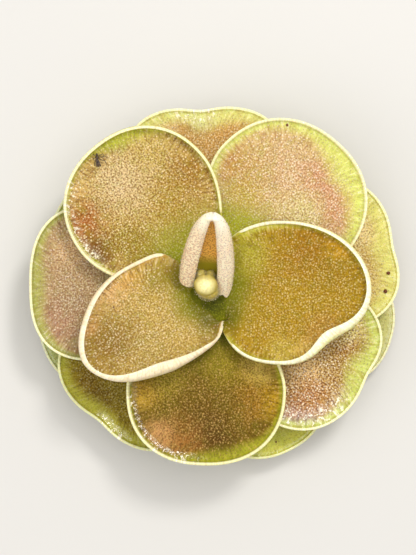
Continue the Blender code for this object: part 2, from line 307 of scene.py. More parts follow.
def ringShares():
    rollStart, roundStart = bladeForm["rollStart"], bladeForm["roundStart"]
    inner, roll, rounded = bladeForm["innerRings"], bladeForm["rollRings"], bladeForm["roundRings"]
    shares = [rollStart * step / inner for step in range(1, inner)]
    shares += [rollStart + (roundStart - rollStart) * step / roll for step in range(roll)]
    for step in range(rounded + 1):
        shares.append(roundStart + (1 - roundStart) * math.sin(math.pi / 2 * step / rounded))
    return shares


def discFaces(rings, spokes):
    # triangles round the middle point, then rings of quads
    faces = [(0, 1 + spoke, 1 + (spoke + 1) % spokes) for spoke in range(spokes)]
    for ring in range(rings - 1):
        inner, outer = 1 + ring * spokes, 1 + (ring + 1) * spokes
        for spoke in range(spokes):
            following = (spoke + 1) % spokes
            faces.append((inner + spoke, outer + spoke, outer + following, inner + following))
    return faces


rayStart = 0.5  # a probe for the face below starts this far above its point


def heightBelow(point, trees, most):
    # the highest of the lower leaves' faces under a point
    highest = None
    for tree in trees:
        hit = tree.ray_cast(point + Vector((0, 0, rayStart)), Vector((0, 0, -1)), most + rayStart)[0]
        if hit is not None and (highest is None or hit.z > highest):
            highest = hit.z
    return highest


def leafMesh(number, leaf, lower):
    # the open face as rings round the middle of the widest part, then flesh below it
    height = spiral["topHeight"] - spiral["step"] * number
    rise = spiral["rise"] * math.exp(-number / spiral["riseFade"]) - spiral["riseLoss"]
    dish = spiral["dish"][0] + (spiral["dish"][1] - spiral["dish"][0]) * number / len(leafForms)
    foot = crownRadius(height - bladeForm["middle"]) + bladeForm["clearance"]
    margin = bladeForm["margin"][min(number, 3) - 1]
    shares, spokes = ringShares(), bladeForm["spokes"]
    local = [bladePoint(leaf, foot, rise, dish, margin, 0.0, 0.0)]
    taper, thickness, settling, bearings = [1.0], [bladeForm["middle"]], [0.0], [0.0]
    for share in shares:
        past = max(0.0, (share - bladeForm["roundStart"]) / (1 - bladeForm["roundStart"]))
        edgeShare = 0.0 if share == shares[-1] else math.sqrt(1 - past * past)
        thick = margin + (bladeForm["middle"] - margin) * (1 - share * share)
        for spoke in range(spokes):
            angle = math.tau * spoke / spokes
            free = baseFade(angle)
            point = bladePoint(leaf, foot, rise, dish, margin, share, angle)
            point.x -= bladeForm["baseReach"] * (1 - free) * share * share
            local.append(point)
            taper.append(edgeShare)
            thickness.append(thick * (1 - bladeForm["baseThins"] * (1 - free) * share))
            settling.append((1 - free) * smoothStep(share, *bladeForm["settle"]))
            bearings.append(math.degrees(math.remainder(angle, math.tau)))
    faces = discFaces(len(shares), spokes)
    # how far each point lies in from the margin, along its spoke
    gaps = [0.0] * len(local)
    for ring in range(len(shares) - 2, -1, -1):
        for spoke in range(spokes):
            index = 1 + ring * spokes + spoke
            gaps[index] = gaps[index + spokes] + (local[index] - local[index + spokes]).length
    gaps[0] = sum(gaps[1 : 1 + spokes]) / spokes
    shown, spread = shownBase.get(number, (0, 1))
    for index, (settle, bearing) in enumerate(zip(settling, bearings)):
        gaps[index] += bladeForm["noMargin"] * settle * (1 - hump(bearing - shown, spread))
    direction = math.radians(spiral["start"] + spiral["goldenAngle"] * number + leaf["turn"])
    placing = Matrix.Translation((0, 0, height)) @ Matrix.Rotation(direction, 4, "Z")
    points = []
    for point, gap, settle in zip(local, gaps, settling):
        still = smoothStep(gap, 0.0, bladeForm["calmMargin"]) * smoothStep(point.x, *bladeForm["calmBase"])
        probe = point / bladeForm["swellLength"] + Vector((0, 0, bladeForm["swellStep"] * number))
        swell = bladeForm["swell"] * noise.noise(probe)
        placed = placing @ (point + Vector((0, 0, swell * still)))
        if settle > 0:
            rest = heightBelow(placed, lower, bladeForm["settleMost"])
            if rest is not None:
                placed.z += settle * (rest - placed.z)
        points.append(placed)
    place = [Vector((point.x, point.y, 0)) for point in local]
    notes = {"place": place, "bearing": bearings, "rimGap": gaps}
    lower.append(BVHTree.FromPolygons(points, faces))
    return fleshOut(f"leaf_{number:02d}_blade", points, faces, thickness, taper, notes)


# Living leaf flesh: wet, soft and translucent, so it scatters light inside and has a thin clear coat.
# heart: colour by the crown, and how far out it fades. colourAndShading: out, across, radius, colour,
# strength.
# band and rim: colour inside and on the margin, its least and most width, and where it is widest.
# hem: the margin's colour from below. wet: where slime pools inside the margin, and how far in.
# the patches are partly the leaf's own colour and partly painted light and shade: painted light where an
# upper leaf shades a face, painted shade by the bud
leafLooks = (
    {
        "face": "#BC9E4C", "heart": ("#7A7806", 3.0, 7.5), "band": ("#BE9439", 0.5, 0.5, 0, 60),
        "rim": ("#F7E6C2", 0.2, 0.9, 60, 80), "hem": "#EFD9B2", "speck": "#7C5420", "pale": "#EED9B0",
        "colourAndShading": (
            (14.9, -0.6, 4.8, "#7E5C0A", 0.85), (11.5, -6.5, 3.5, "#DAAC70", 0.8),
            (8.0, -7.0, 3.0, "#D2A04A", 0.6), (11.0, 3.0, 3.0, "#B09950", 0.6),
            (1.4, 4.0, 3.0, "#4C4A04", 0.85), (5.2, -4.4, 2.6, "#8A7C18", 0.75),
            (16.2, -3.8, 1.8, "#D8A266", 0.7),
        ),
    },
    {
        "face": "#A88517", "heart": ("#747408", 3.5, 9.0), "band": ("#C3BB3B", 0.8, 0.9, 0, 60),
        "rim": ("#FCF7D0", 0.2, 0.75, -36, 44), "hem": "#F0EBA8", "speck": "#785610", "pale": "#E0C688",
        "colourAndShading": (
            (12.8, 6.0, 4.5, "#9C6A08", 0.85), (16.3, 3.7, 4.0, "#98750E", 0.7),
            (15.7, -4.5, 3.5, "#B08038", 0.7), (4.8, 5.0, 3.4, "#BCB63C", 0.7),
            (10.5, -7.7, 2.5, "#CAB752", 0.6), (2.4, -3.3, 2.8, "#4A4C04", 0.85),
            (13.4, -7.2, 1.8, "#D6B25C", 0.7), (16.6, 6.4, 1.8, "#C2921A", 0.7),
        ),
    },
    {
        "face": "#BE9E52", "heart": ("#8C9016", 6.0, 13.5), "band": ("#BEBF3E", 0.8, 2.0, -20, 28),
        "rim": ("#F6F0B8", 0.28, 0.6, 80, 70), "wet": (65, 45, 1.6), "speck": "#74481A", "grain": 1.15,
        "pale": "#F0DAAA",
        "colourAndShading": (
            (18.0, 0.8, 4.8, "#D6BA86", 0.9), (16.9, 8.1, 4.0, "#A0561C", 0.9),
            (12.4, 9.0, 3.3, "#683C02", 0.95), (13.6, -7.3, 4.0, "#A17622", 0.85),
            (19.6, -5.1, 3.5, "#CBB15E", 0.7), (24.2, -2.0, 2.6, "#7E8A36", 0.8),
            (21.5, 6.3, 3.0, "#D1AA62", 0.7), (11.0, 4.6, 3.6, "#927A0E", 0.85),
            (12.2, -3.0, 3.6, "#A88822", 0.75),
        ),
    },
    {
        "face": "#705808", "heart": ("#585C04", 6.0, 14.0), "band": ("#A2A026", 0.8, 2.0, 20, 35),
        "rim": ("#F2EDB0", 0.25, 0.5, -100, 70), "wet": (-50, 55, 1.3), "speck": "#4E3002",
        "pale": "#C8A25C",
        "colourAndShading": (
            (18.1, -0.5, 4.0, "#614109", 0.7), (20.2, 1.8, 3.4, "#4E3000", 0.8),
            (20.6, -3.1, 3.6, "#A0682C", 0.75), (12.4, 6.1, 3.0, "#8D6C0C", 0.8),
            (15.1, 9.0, 2.6, "#BC9418", 0.8), (15.6, -6.0, 3.0, "#735E01", 0.7),
            (14.6, -8.4, 2.6, "#C49C34", 0.85), (11.6, -4.8, 3.4, "#A4922A", 0.8),
            (10.4, 2.4, 3.4, "#9A881C", 0.7), (10.4, 7.2, 2.6, "#CCB050", 0.85),
            (19.8, -5.9, 2.6, "#CC965C", 0.8), (15.4, 6.4, 2.8, "#9A6C18", 0.7),
        ),
    },
    {
        "face": "#CDAD71", "heart": ("#A2A320", 9.0, 15.5), "band": ("#D4D66E", 1.1, 3.0, -22, 50),
        "rim": ("#F6F2B8", 0.2, 0.3, -30, 60), "speck": "#96643C", "pale": "#FAEAD0",
        "colourAndShading": (
            (19.3, 2.5, 4.0, "#D1AB7D", 0.8), (21.0, -1.4, 3.5, "#CA9268", 0.8),
            (19.4, -5.7, 4.4, "#C88C66", 0.75), (15.6, 6.5, 4.0, "#BF9D51", 0.8),
            (15.7, -2.6, 3.5, "#D5C986", 0.8), (24.3, -3.5, 2.6, "#D6D878", 0.9),
            (14.6, 8.8, 2.4, "#BC8C40", 0.75), (12.8, 4.8, 2.8, "#BCA234", 0.7),
        ),
    },
    {
        "face": "#B09264", "heart": ("#98944F", 12.0, 16.0), "band": ("#A8A650", 0.6, 1.8, 0, 55),
        "rim": ("#EEECB8", 0.1, 0.1, 0, 60), "speck": "#7C4E38", "pale": "#EAD6BA",
        "colourAndShading": (
            (20.1, -4.0, 3.5, "#B39264", 0.8), (20.2, 4.1, 3.5, "#AE8164", 0.8),
            (18.1, 1.5, 3.0, "#A68A61", 0.7), (18.6, -5.4, 2.6, "#D6AE78", 0.85),
        ),
    },
    {
        "face": "#B08C42", "heart": ("#AD872E", 12.0, 17.0), "band": ("#C6CC66", 1.0, 2.8, 5, 38),
        "rim": ("#F0EEB8", 0.1, 0.1, 0, 60), "wet": (-58, 40, 2.6), "speck": "#643418", "grain": 1.3,
        "pale": "#F6E6CA",
        "colourAndShading": (
            (17.2, -3.8, 3.2, "#F0C884", 0.85), (19.0, -8.7, 3.6, "#AA6C50", 0.8),
            (22.0, 2.4, 3.0, "#A66E22", 0.85), (19.8, 4.1, 2.5, "#F6ED96", 0.6),
            (21.5, -10.5, 2.5, "#788868", 0.8), (19.4, -6.2, 3.2, "#B67C42", 0.85),
        ),
    },
    {
        "face": "#CC9F57", "heart": ("#B69742", 12.0, 17.0), "band": ("#D6D478", 1.0, 2.2, 0, 60),
        "rim": ("#F4F2B8", 0.1, 0.1, 0, 60), "wet": (8, 25, 1.8), "speck": "#94682E", "pale": "#F6E8C2",
        "colourAndShading": (
            (21.3, -2.0, 3.5, "#CC9A4E", 0.8), (22.7, 0.7, 2.2, "#AEB076", 0.7),
            (21.3, 5.6, 2.4, "#ECC892", 0.8),
        ),
    },
    {
        "face": "#927D1B", "heart": ("#A0902C", 14.0, 18.0), "band": ("#B0AA3C", 1.0, 1.8, 0, 60),
        "rim": ("#E0E2A8", 0.1, 0.1, 0, 60), "wet": (14, 22, 1.2), "speck": "#442A0C", "pale": "#BCAE78",
        "colourAndShading": (
            (20.0, -4.3, 3.0, "#7C5A04", 0.8), (21.2, -1.2, 2.8, "#6E5408", 0.8),
        ),
    },
    {
        "face": "#D2B66A", "heart": ("#B8A242", 14.0, 18.0), "band": ("#DAD474", 1.2, 2.8, 0, 60),
        "rim": ("#F4F2B4", 0.1, 0.1, 0, 60), "speck": "#845428", "pale": "#F6EAC2",
        "colourAndShading": (
            (22.5, 3.1, 2.5, "#FAE09E", 0.8), (23.0, -1.1, 2.5, "#C29A51", 0.8),
        ),
    },
    {
        "face": "#C6C96A", "heart": ("#AFB949", 10.0, 16.0), "band": ("#C6CB6F", 3.0, 3.0, 0, 60),
        "rim": ("#DDE0AC", 0.1, 0.1, 0, 60), "speck": "#8A7A4A", "pale": "#C8C48C",
        "colourAndShading": (),
    },
    {
        "face": "#BCAF52", "heart": ("#A1AB39", 10.0, 16.0), "band": ("#C2BE50", 3.4, 3.4, 0, 60),
        "rim": ("#E4E4A4", 0.1, 0.1, 0, 60), "speck": "#8A6A34", "pale": "#D0C480",
        "colourAndShading": (),
    },
    {
        "face": "#BCBE56", "heart": ("#A6B03D", 10.0, 16.0), "band": ("#C1C653", 3.0, 3.0, 0, 60),
        "rim": ("#E0E0A4", 0.1, 0.1, 0, 60), "speck": "#8A7A44", "pale": "#C8C48C",
        "colourAndShading": (),
    },
    {
        "face": "#ACAF65", "heart": ("#98A143", 10.0, 16.0), "band": ("#B1B66C", 3.0, 3.0, 0, 60),
        "rim": ("#DCDEB0", 0.1, 0.1, 0, 60), "speck": "#8A7A4A", "pale": "#C8C48C",
        "colourAndShading": (),
    },
    {
        "face": "#C2B86D", "heart": ("#919537", 10.0, 16.0), "band": ("#C8C279", 3.2, 3.2, 0, 60),
        "rim": ("#EAE8B8", 0.1, 0.1, 0, 60), "speck": "#94803E", "pale": "#DCD49C",
        "colourAndShading": (),
    },
)
# the throat's dark green is partly its own colour and partly painted shade down in the hollow; its patch is
# painted shade in the valley
throatLook = {
    "face": "#747408", "heart": ("#5A5C04", 1.8, 4.2), "band": ("#686A04", 0.5, 0.5, 0, 60),
    "rim": ("#686A04", 0.1, 0.1, 0, 60), "speck": "#403808", "pale": "#8A8820", "grain": 0.55,
    "colourAndShading": ((0.9, -2.5, 1.9, "#2E3201", 0.9),),
}
# lengths of the flesh's patterns in millimetres, and its strengths
fleshFinish = {
    "swirlLength": 4.5,
    "wander": 5.0,  # how far the swirl moves the heart's edge
    "patchEnds": (1.3, 0.1),  # a patch starts and is full at these shares of its radius
    "widthFade": 1.6,
    "blotchLength": 1.1,
    "streakTurn": 2.0,  # degrees round the blade
    "streakLength": 1.6,
    "mottleLength": 0.24,
    "speckStrength": 0.65,
    "glandSpacing": 0.37,
    "dotStrength": 0.75,
    "dotBias": 1.8,  # above 1 most of the dots are faint
    "underside": "#CBCB80",
    "rimShade": "#DCC490",
    "barelyWet": (0, 200, 0.6),
    "wetTurn": 0.6,
    "wetEnds": (1.3, 0.8),
    # painted highlights on the wet margin: how far apart the flecks are, how strong, and their colour
    "sparkleSpacing": 0.5,
    "sparkleStrength": 0.85,
    "sparkleColor": "#FFF6DA",
    "relief": 0.08,
    "rippleLength": 0.5,
    "rippleDepth": 0.16,
    "coat": 0.9,
    "dryRoughness": 0.55,
    "wetRoughness": 0.3,
    "scatterDepth": 0.6,
}
# where each mark starts and is full
fleshRanges = {
    "band": {"From Min": 1.6, "From Max": 0.4},
    "blotch": {"From Min": 0.45, "From Max": 0.7, "To Max": 0.35},
    "outer": {"From Min": 4.0, "From Max": 1.0},
    "inside": {"To Min": 1.0, "To Max": 0.3},
    "speck": {"From Min": 0.46, "From Max": 0.64},
    "dot": {"From Min": 0.42, "From Max": 0.14},
    "paintedGlint": {"From Min": 0.28, "From Max": 0.46, "To Min": 0.5, "To Max": 0.0},
    "faded": {"To Min": 0.65, "To Max": 0.0},
    "hem": {"From Min": 2.8, "From Max": 0.9},
    "rim": {"From Min": 1.2, "From Max": 0.75},
    "ridge": {"From Min": 0.44, "From Max": 0.66, "To Max": 0.6},
    "nearRim": {"From Min": 3.0, "From Max": 0.9},
    "paintedSparkle": {"From Min": 0.55, "From Max": 0.62},
}


def leafFlesh(name, look):
    material, add, shader = startMaterial(name)
    finish, ranges = fleshFinish, fleshRanges
    place = add("Attribute", {}, "Vector", attribute_name="place")  # mm out and across
    rimGap = add("Attribute", {}, "Fac", attribute_name="rimGap")  # mm in from the margin
    bearing = add("Attribute", {}, "Fac", attribute_name="bearing")  # degrees
    faceUp = add("Attribute", {}, "Fac", attribute_name="faceUp")
    swirls = {"Vector": place, "Scale": 1 / finish["swirlLength"], "Detail": 4.0, "Roughness": 0.6}
    swirl = add("TexNoise", swirls)
    drift = add("Math", {0: swirl, 1: 0.5}, operation="SUBTRACT")

    # green by the crown, then the leaf's own colour and its patches, some of them painted light and painted
    # shade
    away = add("VectorMath", {0: place}, "Value", operation="LENGTH")
    wander = add("Math", {0: drift, 1: finish["wander"], 2: away}, operation="MULTIPLY_ADD")
    heartColor, heartStart, heartEnd = look["heart"]
    beyond = add("MapRange", {"Value": wander, "From Min": heartStart, "From Max": heartEnd}, **smooth)
    layers = [(beyond, look["face"])]
    # each patch is own colour, or painted light lifting a shaded place, or painted shade by the bud
    for out, across, radius, patchColor, strength in look["colourAndShading"]:
        off = add("VectorMath", {0: place, 1: (out, across, 0.0)}, "Value", operation="DISTANCE")
        ragged = add("Math", {0: drift, 1: radius, 2: off}, operation="MULTIPLY_ADD")
        start, full = [radius * share for share in finish["patchEnds"]]
        reach = {"From Min": start, "From Max": full, "To Max": strength}
        layers.append((add("MapRange", {"Value": ragged, **reach}, **smooth), patchColor))

    # yellow-green band inside the margin, and soft blotches of olive, smaller than the patches
    widths = []
    for title in ("band", "rim"):
        least, most, widest, spread = look[title][1:]
        turn = add("Math", {0: bearing, 1: widest}, operation="SUBTRACT")
        turn = add("Math", {0: turn}, operation="ABSOLUTE")
        fade = {"From Min": spread * finish["widthFade"], "From Max": 0.0, "To Min": least, "To Max": most}
        widths.append(add("MapRange", {"Value": turn, **fade}, **smooth))
    inShare = add("Math", {0: rimGap, 1: widths[0]}, operation="DIVIDE")
    ragged = add("Math", {0: drift, 1: 1.0, 2: inShare}, operation="MULTIPLY_ADD")
    band = add("MapRange", {"Value": ragged, **ranges["band"]}, **smooth)
    blotch = add("TexNoise", {"Vector": place, "Scale": 1 / finish["blotchLength"], "Detail": 3.0})
    olive = add("MapRange", {"Value": blotch, **ranges["blotch"]})
    layers += [(band, look["band"][0]), (olive, heartColor)]
    plain = heartColor
    for share, over in layers:
        plain = add("Mix", {0: share, 6: plain, 7: over}, 2, **inColor)

    # fine fibres that run out to the margin
    along = add("Math", {0: bearing, 1: finish["streakTurn"]}, operation="DIVIDE")
    inward = add("Math", {0: rimGap, 1: finish["streakLength"]}, operation="DIVIDE")
    combed = add("CombineXYZ", {"X": along, "Y": inward})
    fibre = add("TexNoise", {"Vector": combed, "Scale": 1.0, "Detail": 2.0})
    outer = add("MapRange", {"Value": rimGap, **ranges["outer"]})

    # mottling between the glands, then the pale glands themselves and painted glints. By the crown all of
    # them fade
    grainShare = look.get("grain", 1.0)
    mottle = add("TexNoise", {"Vector": place, "Scale": 1 / finish["mottleLength"], "Detail": 1.0})
    grain = add("Mix", {0: outer, 2: mottle, 3: fibre}, data_type="FLOAT")
    inside = add("MapRange", {"Value": band, **ranges["inside"]})
    darkest = finish["speckStrength"] * grainShare
    speck = add("MapRange", {"Value": grain, **ranges["speck"], "To Max": darkest}, **smooth)
    speck = add("Math", {0: speck, 1: inside}, operation="MULTIPLY")
    cells = {"Vector": place, "Scale": 1 / finish["glandSpacing"], "Randomness": 1.0}
    gland = add("TexVoronoi", cells, "Distance", voronoi_dimensions="2D")
    dot = add("MapRange", {"Value": gland, **ranges["dot"]}, **smooth)
    chance = add("SeparateColor", {"Color": gland.node.outputs["Color"]}, "Red")
    chance = add("Math", {0: chance, 1: finish["dotBias"]}, operation="POWER")
    chance = add("Math", {0: chance, 1: finish["dotStrength"] * grainShare}, operation="MULTIPLY")
    dotHere = add("Math", {0: dot, 1: inside}, operation="MULTIPLY")
    dotHere = add("Math", {0: dotHere, 1: chance}, operation="MULTIPLY")
    # painted highlight: pale flecks where the grain is low
    paintedGlint = add("MapRange", {"Value": grain, **ranges["paintedGlint"]})
    faded = add("MapRange", {"Value": beyond, **ranges["faded"]})
    upper = plain
    grains = ((speck, look["speck"]), (dotHere, look["pale"]), (paintedGlint, look["pale"]), (faded, plain))
    for share, over in grains:
        upper = add("Mix", {0: share, 6: upper, 7: over}, 2, **inColor)

    # the underside is plain and pale, and the margin is cream on both sides, with ridges
    hem = add("MapRange", {"Value": rimGap, **ranges["hem"]})
    hemColor = look.get("hem", look["band"][0])
    under = add("Mix", {0: hem, 6: finish["underside"], 7: hemColor}, 2, **inColor)
    depth = add("Math", {0: rimGap, 1: widths[1]}, operation="DIVIDE")
    rim = add("MapRange", {"Value": depth, **ranges["rim"]}, **smooth)
    ridge = add("MapRange", {"Value": fibre, **ranges["ridge"]})
    nearRim = add("MapRange", {"Value": rimGap, **ranges["nearRim"]})
    hemmed = add("MapRange", {"Value": faceUp, "To Min": nearRim, "To Max": rim})
    ridge = add("Math", {0: ridge, 1: hemmed}, operation="MULTIPLY")

    # slime pools where the margin is rolled and shines with its clear coat; the pale flecks in it are painted
    # highlights
    wetBearing, wetSpread, wetReach = look.get("wet", finish["barelyWet"])
    turn = add("Math", {0: bearing, 1: wetBearing}, operation="SUBTRACT")
    turn = add("Math", {0: turn}, operation="ABSOLUTE")
    wetArc = {"From Min": wetSpread, "From Max": wetSpread * finish["wetTurn"]}
    wetSide = add("MapRange", {"Value": turn, **wetArc})
    strayed = add("Math", {0: drift, 1: wetReach, 2: rimGap}, operation="MULTIPLY_ADD")
    start, full = [wetReach * share for share in finish["wetEnds"]]
    wetDeep = add("MapRange", {"Value": strayed, "From Min": start, "From Max": full})
    wet = add("Math", {0: wetSide, 1: wetDeep}, operation="MULTIPLY")
    sparkleNoise = {"Vector": place, "Scale": 1 / finish["sparkleSpacing"], "Detail": 3.0, "Roughness": 0.6}
    sparkleNoise["Distortion"] = 0.4
    paintedSparkle = add("MapRange", {"Value": add("TexNoise", sparkleNoise), **ranges["paintedSparkle"]})
    paintedSparkle = add("Math", {0: paintedSparkle, 1: wet}, operation="MULTIPLY")
    paintedSparkle = add("Math", {0: paintedSparkle, 1: finish["sparkleStrength"] if "wet" in look else 0.0}, operation="MULTIPLY")
    color = under
    top = ((faceUp, upper), (rim, look["rim"][0]), (ridge, finish["rimShade"]), (paintedSparkle, finish["sparkleColor"]))
    for share, over in top:
        color = add("Mix", {0: share, 6: color, 7: over}, 2, **inColor)
    relief = add("Math", {0: dot, 1: grain}, operation="ADD")
    ripple = add("TexNoise", {"Vector": place, "Scale": 1 / finish["rippleLength"], "Detail": 2.0})
    roughness = {"Value": wet, "To Min": finish["dryRoughness"], "To Max": finish["wetRoughness"]}
    slime = {"Height": ripple, "Strength": 0.8, "Distance": finish["rippleDepth"] * mm}
    setInputs(
        shader,
        {
            "Base Color": color,
            "Normal": add("Bump", {"Height": relief, "Strength": 0.6, "Distance": finish["relief"] * mm}),
            "Roughness": add("MapRange", roughness),
            "IOR": 1.4,
            "Specular IOR Level": 0.12,
            "Subsurface Weight": 0.25,
            "Subsurface Radius": (1.0, 0.7, 0.25),
            "Subsurface Scale": finish["scatterDepth"] * mm,
            "Coat Weight": add("Math", {0: wet, 1: finish["coat"]}, operation="MULTIPLY"),
            "Coat Roughness": 0.06,
            "Coat Normal": add("Bump", slime),
        },
    )
    return material


leafPieces = []
leafFaces = []
firstOld = 10  # from this leaf on they are old and green
for number in range(len(leafForms), 0, -1):
    leaf = dict(zip(formNames, leafForms[number - 1]))
    leaf["curl"] = furtherCurl.get(number, ())
    flesh = leafFlesh(f"sticky leaf flesh {number:02d}", leafLooks[number - 1])
    slotName = "leaf_flesh" if number < firstOld else "old_leaf_flesh"
    mesh = leafMesh(number, leaf, leafFaces)
    leafPieces.insert(0, addPiece(mesh.name, mesh, flesh, slotName, f"leaf_{number:02d}"))
print("leaves made:", len(leafPieces))


# Throat: the leaf bases grow together round the bud into one green hollow.
throatForm = {
    "reach": 3.7,
    # where it runs further out between two leaves: bearing, spread, how far
    "spouts": ((-63, 26, 1.5), (58, 18, 1.6)),
    "rings": 22,
    "spokes": 108,
    "passes": 60,
    "rimPasses": 6,
    "centre": 10.4,
    "lift": 0.03,
    "sink": 0.3,
    "sinkFrom": 0.62,
    "covers": (0.4, 0.66),
    "thickness": 0.7,
    "inside": 9.0,  # as far in from a margin as any flesh, so it shows none
    "probeHeight": 16.0,
    "probeDepth": 9.0,
}


def throatReach(angle):
    reach = throatForm["reach"]
    for bearing, spread, further in throatForm["spouts"]:
        reach += further * hump(turnedFrom(angle, bearing), spread)
    return reach


def throatMesh():
    form = throatForm
    rings, spokes = form["rings"], form["spokes"]
    bare = []
    for ring in range(1, rings + 1):
        row = []
        for spoke in range(spokes):
            angle = math.tau * spoke / spokes
            radius = throatReach(angle) * ring / rings
            above = Vector((radius * math.cos(angle), radius * math.sin(angle), form["probeHeight"]))
            row.append(heightBelow(above, leafFaces, form["probeDepth"]))
        bare.append(row)
    known = [value for value in bare[-1] if value is not None]
    outer = [value if value is not None else min(known) for value in bare[-1]]
    for _ in range(form["rimPasses"]):
        following = outer[1:] + outer[:1]
        outer = [(outer[spoke - 1] + 2 * outer[spoke] + following[spoke]) / 4 for spoke in range(spokes)]
    heights = []
    for ring in range(1, rings + 1):
        share = ring / rings
        heights.append([form["centre"] * (1 - share) + edge * share for edge in outer])
    for _ in range(form["passes"]):
        for ring in range(rings - 1):
            inner = heights[ring - 1] if ring else [form["centre"]] * spokes
            row, out = heights[ring], heights[ring + 1]
            following = row[1:] + row[:1]
            eased = [(inner[at] + out[at] + row[at - 1] + following[at]) / 4 for at in range(spokes)]
            covers = 1 - smoothStep((ring + 1) / rings, *form["covers"])
            for spoke, least in enumerate(bare[ring]):
                if least is not None and covers > 0:
                    eased[spoke] = max(eased[spoke], least + form["lift"] - (1 - covers))
            heights[ring] = eased
    points = [Vector((0, 0, form["centre"]))]
    place = [Vector((0, 0, 0))]
    taper = [1.0]
    for ring, row in enumerate(heights, 1):
        drop = form["sink"] * smoothStep(ring / rings, form["sinkFrom"], 1.0)
        for spoke, height in enumerate(row):
            angle = math.tau * spoke / spokes
            radius = throatReach(angle) * ring / rings
            points.append(Vector((radius * math.cos(angle), radius * math.sin(angle), height - drop)))
            place.append(Vector((radius * math.cos(angle), radius * math.sin(angle), 0)))
            taper.append(0.0 if ring == rings else 1.0)
    many = len(points)
    notes = {"place": place, "bearing": [0.0] * many, "rimGap": [form["inside"]] * many}
    thickness = [form["thickness"]] * many
    return fleshOut("green_throat", points, discFaces(rings, spokes), thickness, taper, notes)


flesh = leafFlesh("green throat flesh", throatLook)
throatPiece = addPiece("green_throat", throatMesh(), flesh, "leaf_flesh")
print("throat made")


# Young leaf: both margins rolled in over its face like scrolls, over the bud.
youngForm = {
    "foot": (-0.25, 1.15, 11.8),
    "direction": 83.8,
    "lean": 48.0,
    "length": 13.4,
    "widest": 0.2,
    "halfWidth": 3.55,
    "taper": (1.3, 0.38),
    "slit": 1.36,
    "slitTip": 0.985,
    "slitRound": 0.88,
    "narrows": (0.92, 0.98),
    "narrowGain": 0.08,
    "closes": (0.955, 0.99),
    "closedGain": 0.4,
    "lobe": (0.7, 1.85),
    "ragged": (0.74, 0.06, 1.0),  # the right lobe's torn corner: where, how wide, how long
    "raggedEnds": 0.12,
    "curl": 240.0,
    "tuck": 0.05,
    "curve": 0.9,
    "thickness": 0.65,
    "thins": 0.6,
    "thinsFrom": 0.7,
    "floor": 0.36,
    "lobeEnds": 0.35,
    "least": 0.1,
    "rows": 84,
    "columns": 90,
    "roundStart": 0.95,
    "roundFoot": 0.03,
}


def youngThickness(along):
    return youngForm["thickness"] * (1 - youngForm["thins"] * smoothStep(along, youngForm["thinsFrom"], 1.0))


def scrollPoint(along, across):
    form = youngForm
    past = max(0.0, (along - form["widest"]) / (1 - form["widest"]))
    halfWidth = form["halfWidth"] * max(0.0, 1 - past ** form["taper"][0]) ** form["taper"][1]
    thick = youngThickness(along)
    # the slit narrows to its tip, and past it both scrolls become one closed hood
    closed = smoothStep(along, *form["closes"])
    gap = form["slit"] * max(0.0, 1 - along / form["slitTip"]) ** form["slitRound"]
    narrowed = smoothStep(along, *form["narrows"])
    scroll = 0.5 * (halfWidth - gap) * (1 + form["narrowGain"] * narrowed + form["closedGain"] * closed)
    inner = max(scroll - thick, form["least"] * (1 - along))
    if across > 0:
        inner *= 1 - form["tuck"] * closed
    floor = max(halfWidth - scroll, 0.0)
    side = abs(across)
    turned = max(0.0, side - form["floor"]) / (1 - form["floor"])
    curl = math.radians(form["curl"]) * turned
    aside = floor * min(side / form["floor"], 1.0) + inner * math.sin(curl)
    height = inner * (1 - math.cos(curl)) + form["curve"] * along * along
    lobe = form["lobe"][0] if across > 0 else form["lobe"][1]
    back = lobe * side * side * (1 - smoothStep(along, 0.0, form["lobeEnds"]))
    if across < 0:
        where, spread, length = form["ragged"]
        back += length * hump(side - where, spread) * (1 - smoothStep(along, 0.0, form["raggedEnds"]))
    return Vector((form["length"] * along - back, math.copysign(aside, across), height))


def youngMesh():
    form = youngForm
    turned = Matrix.Rotation(math.radians(form["direction"]), 4, "Z")
    leant = Matrix.Rotation(math.radians(-form["lean"]), 4, "Y")
    placing = Matrix.Translation(form["foot"]) @ turned @ leant
    rows, columns = form["rows"], form["columns"]
    points, taper, thickness, place, scrolled = [], [], [], [], []
    for row in range(rows + 1):
        along = 0.5 - 0.5 * math.cos(math.pi * row / rows)
        for column in range(columns + 1):
            across = math.sin(math.pi / 2 * (2 * column / columns - 1))
            side = abs(across)
            past = max(0.0, (side - form["roundStart"]) / (1 - form["roundStart"]))
            short = max(0.0, 1 - along / form["roundFoot"])
            ended = max(0.0, (along - (1 - form["roundFoot"])) / form["roundFoot"])
            edge = max(past, short, ended)
            taper.append(math.sqrt(max(0.0, 1 - edge * edge)) if edge < 0.999 else 0.0)
            points.append(placing @ scrollPoint(along, across))
            thickness.append(youngThickness(along))
            place.append(Vector((form["length"] * along, form["halfWidth"] * across * 2, 0)))
            scrolled.append(max(0.0, side - form["floor"]) / (1 - form["floor"]))
    faces = []
    for row in range(rows):
        for column in range(columns):
            first = row * (columns + 1) + column
            faces.append((first, first + columns + 1, first + columns + 2, first + 1))
    notes = {"place": place, "rolled": scrolled}
    return fleshOut("young_leaf_scroll", points, faces, thickness, taper, notes)


youngFinish = {
    "cream": "#FAE9C2",
    "blush": "#F2D5AC",
    "speck": "#D0A482",
    "tip": "#FBE9C8",
    # right: painted light, the right scroll paler where the light falls on it
    "right": "#FFF8E2",
    # slit: amber, brightened as a painted glow of light shining through
    "slit": "#F4BC52",
    "slitSpeck": "#B47422",
    "slitFoot": "#8E8214",
    "swirlLength": 2.857,
    "mottleLength": 0.2941,
    "relief": 0.08,
    "scatterDepth": 0.6,
}
youngRanges = {
    "blush": {"From Min": 0.4, "From Max": 0.7},
    "speck": {"From Min": 0.46, "From Max": 0.6, "To Max": 0.8},
    "tip": {"From Min": 8.5, "From Max": 13.0, "To Max": 0.8},
    "right": {"From Min": 0.0, "From Max": -3.0, "To Max": 0.3},
    "slitFoot": {"From Min": 5.0, "From Max": 3.0},
    "slit": {"From Min": 0.45, "From Max": 0.15},
}


